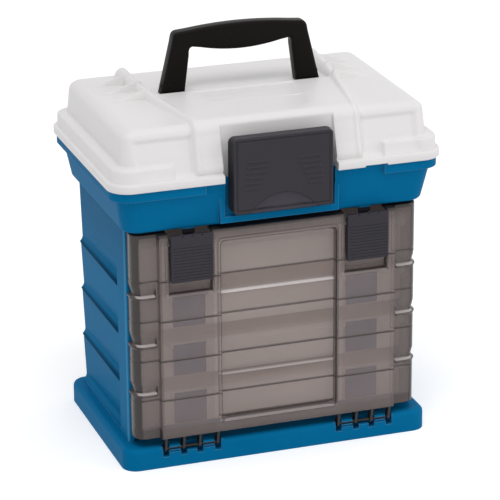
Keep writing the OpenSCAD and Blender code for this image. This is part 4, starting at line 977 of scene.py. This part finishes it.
class CABINET_OT_latches(bpy.types.Operator):
    """Finishes the latches of the lid, the door and the boxes"""

    bl_idname = "cabinet.latches"
    bl_label = "Latches"

    def execute(self, context):
        c = context.scene.cabinet_colours

        def flank(shader):
            """Painted shade beyond the face's rim, and a painted highlight in the finger scoop, outlined in
            painted shade.
            """
            across = shader.along(0)
            run = across / (SCOOP_HALF * MM)
            arch = LATCH_FOOT * MM + SCOOP_HIGH * MM * (1 - run * run) - shader.along(2)
            # painted highlight in the scoop
            scoop = arch.above(0, 0.0006) * 0.12 + arch.above(0, 0.014) * 0.15
            # painted shade along the scoop's edge
            outline = abs(arch).below(0.0002, 0.0006)
            # painted shade on the flare beyond the face's rim
            beyond = abs(across).above(0.0412, 0.0416)
            return (
                (scoop, scaled(c.grey, 4)),
                (outline * 0.6, scaled(c.grey, 0.4)),
                (beyond * 0.75, scaled(c.grey, 0.3)),
            )

        grey = {"roughness": 0.42, "edge_highlight": 0.2, "specular": 0.3, "ior": 1.3, "grain_depth_mm": 0.03}
        pale = scaled(c.grey, 1.25)
        shader = moulded("grey_plastic", c.grey, pale, edge_mm=0.6, **grey)
        dress(shader, "door_latch_left", "door_latch_right")
        cap = latch_cap("lid_latch_cap", context.scene.cabinet_moulds)
        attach(cap, "lid_latch")
        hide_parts("lid_latch")
        dress(moulded("grey_plastic_lid_latch", c.grey, pale, edge_mm=0.4, painted_light=flank, **grey), cap)
        shader = moulded(
            "slate_plastic", c.slate, scaled(c.slate, 1.2), roughness=0.5, edge_mm=0.6, edge_highlight=0.15,
            specular=0.3,
        )
        dress(shader, *(f"box_{i}_latch_{side}" for i in range(1, 5) for side in ("left", "right")))
        return {"FINISHED"}


class CABINET_OT_handle(bpy.types.Operator):
    """Finishes the black carry handle"""

    bl_idname = "cabinet.handle"
    bl_label = "Handle"

    def execute(self, context):
        c = context.scene.cabinet_colours
        bow = handle_bow("handle_bow")
        shader = moulded(
            "black_plastic", c.black, scaled(c.black, 1.6), roughness=0.38, edge_mm=0.6, edge_highlight=0.15,
            specular=0.2, ior=1.3,
        )
        dress(shader, bow)
        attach(bow, "handle")
        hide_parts("carry_handle")
        return {"FINISHED"}


class CABINET_OT_door(bpy.types.Operator):
    """Finishes the clear smoke door"""

    bl_idname = "cabinet.door"
    bl_label = "Door"

    def execute(self, context):
        c, f = context.scene.cabinet_colours, context.scene.cabinet_finish

        def relief(shader):
            """Painted shade: dark lines at the foot and head of each step, on the fine lines and round the
            window.

            The walls between get less of it, the pockets and the top under the tub get painted shadow, and
            the side strips, the foot and the parts beside the window are a little darker. Shelves that look
            up and the window's sill get a painted highlight, but for the pockets; on the flanks they get
            painted shade instead.
            """
            across, height = abs(shader.along(0)), shader.along(2)
            lean, up = 1 - abs(shader.facing(1)), shader.facing(2)
            lines = sum(abs(height - at * MM).below(0.0003, 0.0007) for at in FINE_LINES)
            inner = across.below(0.1005, 0.101)
            # distance from the window's edge, which is a rectangle with round corners
            middle = (WINDOW_HIGH + WINDOW_LOW) / 2 * MM
            half = (WINDOW_HIGH - WINDOW_LOW) / 2 * MM
            radius = WINDOW_CORNER * MM
            past_x = across - (WINDOW_HALF * MM - radius)
            past_z = abs(height - middle) - (half - radius)
            corner = (shader.larger(past_x, 0) ** 2 + shader.larger(past_z, 0) ** 2) ** 0.5
            past_edge = corner - shader.larger(0 - shader.larger(past_x, past_z), 0) - radius
            # painted shade round the window's edge
            outline = abs(past_edge).below(0.0003, 0.0009) * height.above(0.0365, 0.0375)
            # painted shade on the steep walls of the relief, less on the steepest, and on the side strips
            steep = lean.above(0.03, 0.14) * 0.9 - lean.above(0.35, 0.7) * 0.45 + (1 - inner) * 0.25
            # painted shadow along the door's top, under the tub
            rim = height.above(0.19, 0.1975) * 0.35 + height.above(0.1965, 0.198) * 0.5
            # painted shadow in the latch pockets
            pocket = abs(across - POCKET_X * MM).below(0.0184, 0.0188) * height.above(0.148, 0.149)
            sill = up.above(0.4, 0.6) * height.above(0.0325, 0.033) * height.below(0.035, 0.0353) * inner
            between = height.above(0.036, 0.04) * height.below(0.188, 0.189)
            # shelves that get the painted highlight
            shelf = up.above(0.66, 0.86) * (1 - pocket) * between + sill * 0.6
            flank = across.above(0.1165, 0.1185)
            beside = across.above(0.0535, 0.056) * 0.13 + height.below(0.0335, 0.0345) * 0.4
            # all of the painted shade
            dark = steep * (1 - shelf) + lines * (0.45 + inner * 0.4) + rim + pocket * 0.3 + outline * 0.6
            dark = dark + shelf * flank * 0.7 + beside
            # the painted highlight
            bright = shelf * (1 - flank) * (0.5 + height.above(0.12, 0.13) * inner * 0.3)
            return dark.clamped(), bright

        panel = door_panel("door_panel", context.scene.cabinet_moulds)
        shader = see_through(
            "smoke_plastic", c.smoke, scaled(c.smoke, 1.25), cover=f.door_cover, roughness=0.16,
            edge_mm=1.0, grain_depth_mm=0.008, relief=relief,
        )
        dress(shader, panel)
        fittings = door_fittings("door_fittings")
        # the fittings' edges get painted shade
        shader = see_through(
            "smoke_fittings", scaled(c.smoke, 0.06), scaled(c.smoke, 0.1), cover=0.95, roughness=0.2,
            edge_mm=0.4, grain_depth_mm=0.008,
        )
        dress(shader, fittings)
        for piece in (panel, fittings):
            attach(piece, "door")
            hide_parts("door")
        return {"FINISHED"}


class CABINET_OT_boxes(bpy.types.Operator):
    """Finishes the frosted storage boxes and their dividers"""

    bl_idname = "cabinet.boxes"
    bl_label = "Boxes"

    def execute(self, context):
        c, f = context.scene.cabinet_colours, context.scene.cabinet_finish
        # the boxes' edges get painted shade
        shader = see_through(
            "frosted_plastic", c.frosted, scaled(c.frosted, 1.1), cover=f.box_cover, roughness=0.3,
            edge_mm=0.9, grain_depth_mm=0.015,
        )
        # a painted glow for light that wanders inside the frosted walls, and none on faces that look up,
        # such as the lids, which the boxes above them shade
        upward = shader.facing(2).above(0.4, 0.8)
        shader.feed("Emission Color", shader.mix(upward, c.frosted, (0.0, 0.0, 0.0)))
        shader.surface.inputs["Emission Strength"].default_value = 0.1
        dress(shader, *(f"box_{i}_{part}" for i in range(1, 5) for part in ("tray", "lid", "dividers")))
        return {"FINISHED"}


class CABINET_OT_hardware(bpy.types.Operator):
    """Finishes the steel pins and screws"""

    bl_idname = "cabinet.hardware"
    bl_label = "Hardware"

    def execute(self, context):
        steel = context.scene.cabinet_colours.steel
        shader = Shader("plated_steel", Metallic=1.0)
        brushed = shader.noise(2500, 3, (0.04, 1, 1))
        spots = shader.noise(700, 2).above(0.62, 0.8)
        shader.feed("Base Color", shader.mix(spots * 0.5, steel, scaled(steel, 0.6)))
        shader.feed("Roughness", (0.22 + brushed * 0.22 + spots * 0.15).clamped())
        shader.feed("Normal", shader.bump(brushed, 0.01))
        plated = [s["node"] for s in frame["record"]["subparts"] if s["material_slot"] == "steel"]
        dress(shader, *(node for node in plated if node != "handle_pins"))
        # the handle's pins are black, like the handle
        shader = Shader("blackened_steel", Metallic=1.0, Roughness=0.5)
        black = shader.mix(shader.noise(700, 2), scaled(steel, 0.08), scaled(steel, 0.12))
        shader.feed("Base Color", black)
        dress(shader, "handle_pins")
        return {"FINISHED"}


STEPS = (
    CABINET_OT_stage, CABINET_OT_shell, CABINET_OT_lid, CABINET_OT_latches,
    CABINET_OT_handle, CABINET_OT_door, CABINET_OT_boxes, CABINET_OT_hardware,
)


class CABINET_PT_panel(bpy.types.Panel):
    """Lists the cabinet's pieces and settings"""

    bl_label = "Tackle Cabinet"
    bl_idname = "CABINET_PT_panel"
    bl_space_type = "VIEW_3D"
    bl_region_type = "UI"
    bl_category = "Cabinet"

    def draw(self, context):
        for group in (getattr(context.scene, name) for name in GROUPS):
            box = self.layout.box()
            for name in group.bl_rna.properties.keys():
                if name not in {"rna_type", "name"}:
                    box.prop(group, name)
        for step in STEPS:
            self.layout.operator(step.bl_idname)


GROUPS = {
    "cabinet_colours": CabinetColours,
    "cabinet_finish": CabinetFinish,
    "cabinet_moulds": MouldSettings,
    "cabinet_stage": StageSettings,
}


def register():
    for cls in (*GROUPS.values(), *STEPS, CABINET_PT_panel):
        bpy.utils.register_class(cls)
    for name, cls in GROUPS.items():
        setattr(bpy.types.Scene, name, PointerProperty(type=cls))


def unregister():
    for name in GROUPS:
        delattr(bpy.types.Scene, name)
    for cls in (CABINET_PT_panel, *reversed(STEPS), *reversed(tuple(GROUPS.values()))):
        bpy.utils.unregister_class(cls)


def main():
    register()
    for step in STEPS:
        group, name = step.bl_idname.split(".")
        if getattr(getattr(bpy.ops, group), name)() != {"FINISHED"}:
            raise RuntimeError(f"{step.bl_label} didn't finish")
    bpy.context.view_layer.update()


if __name__ == "__main__":
    main()
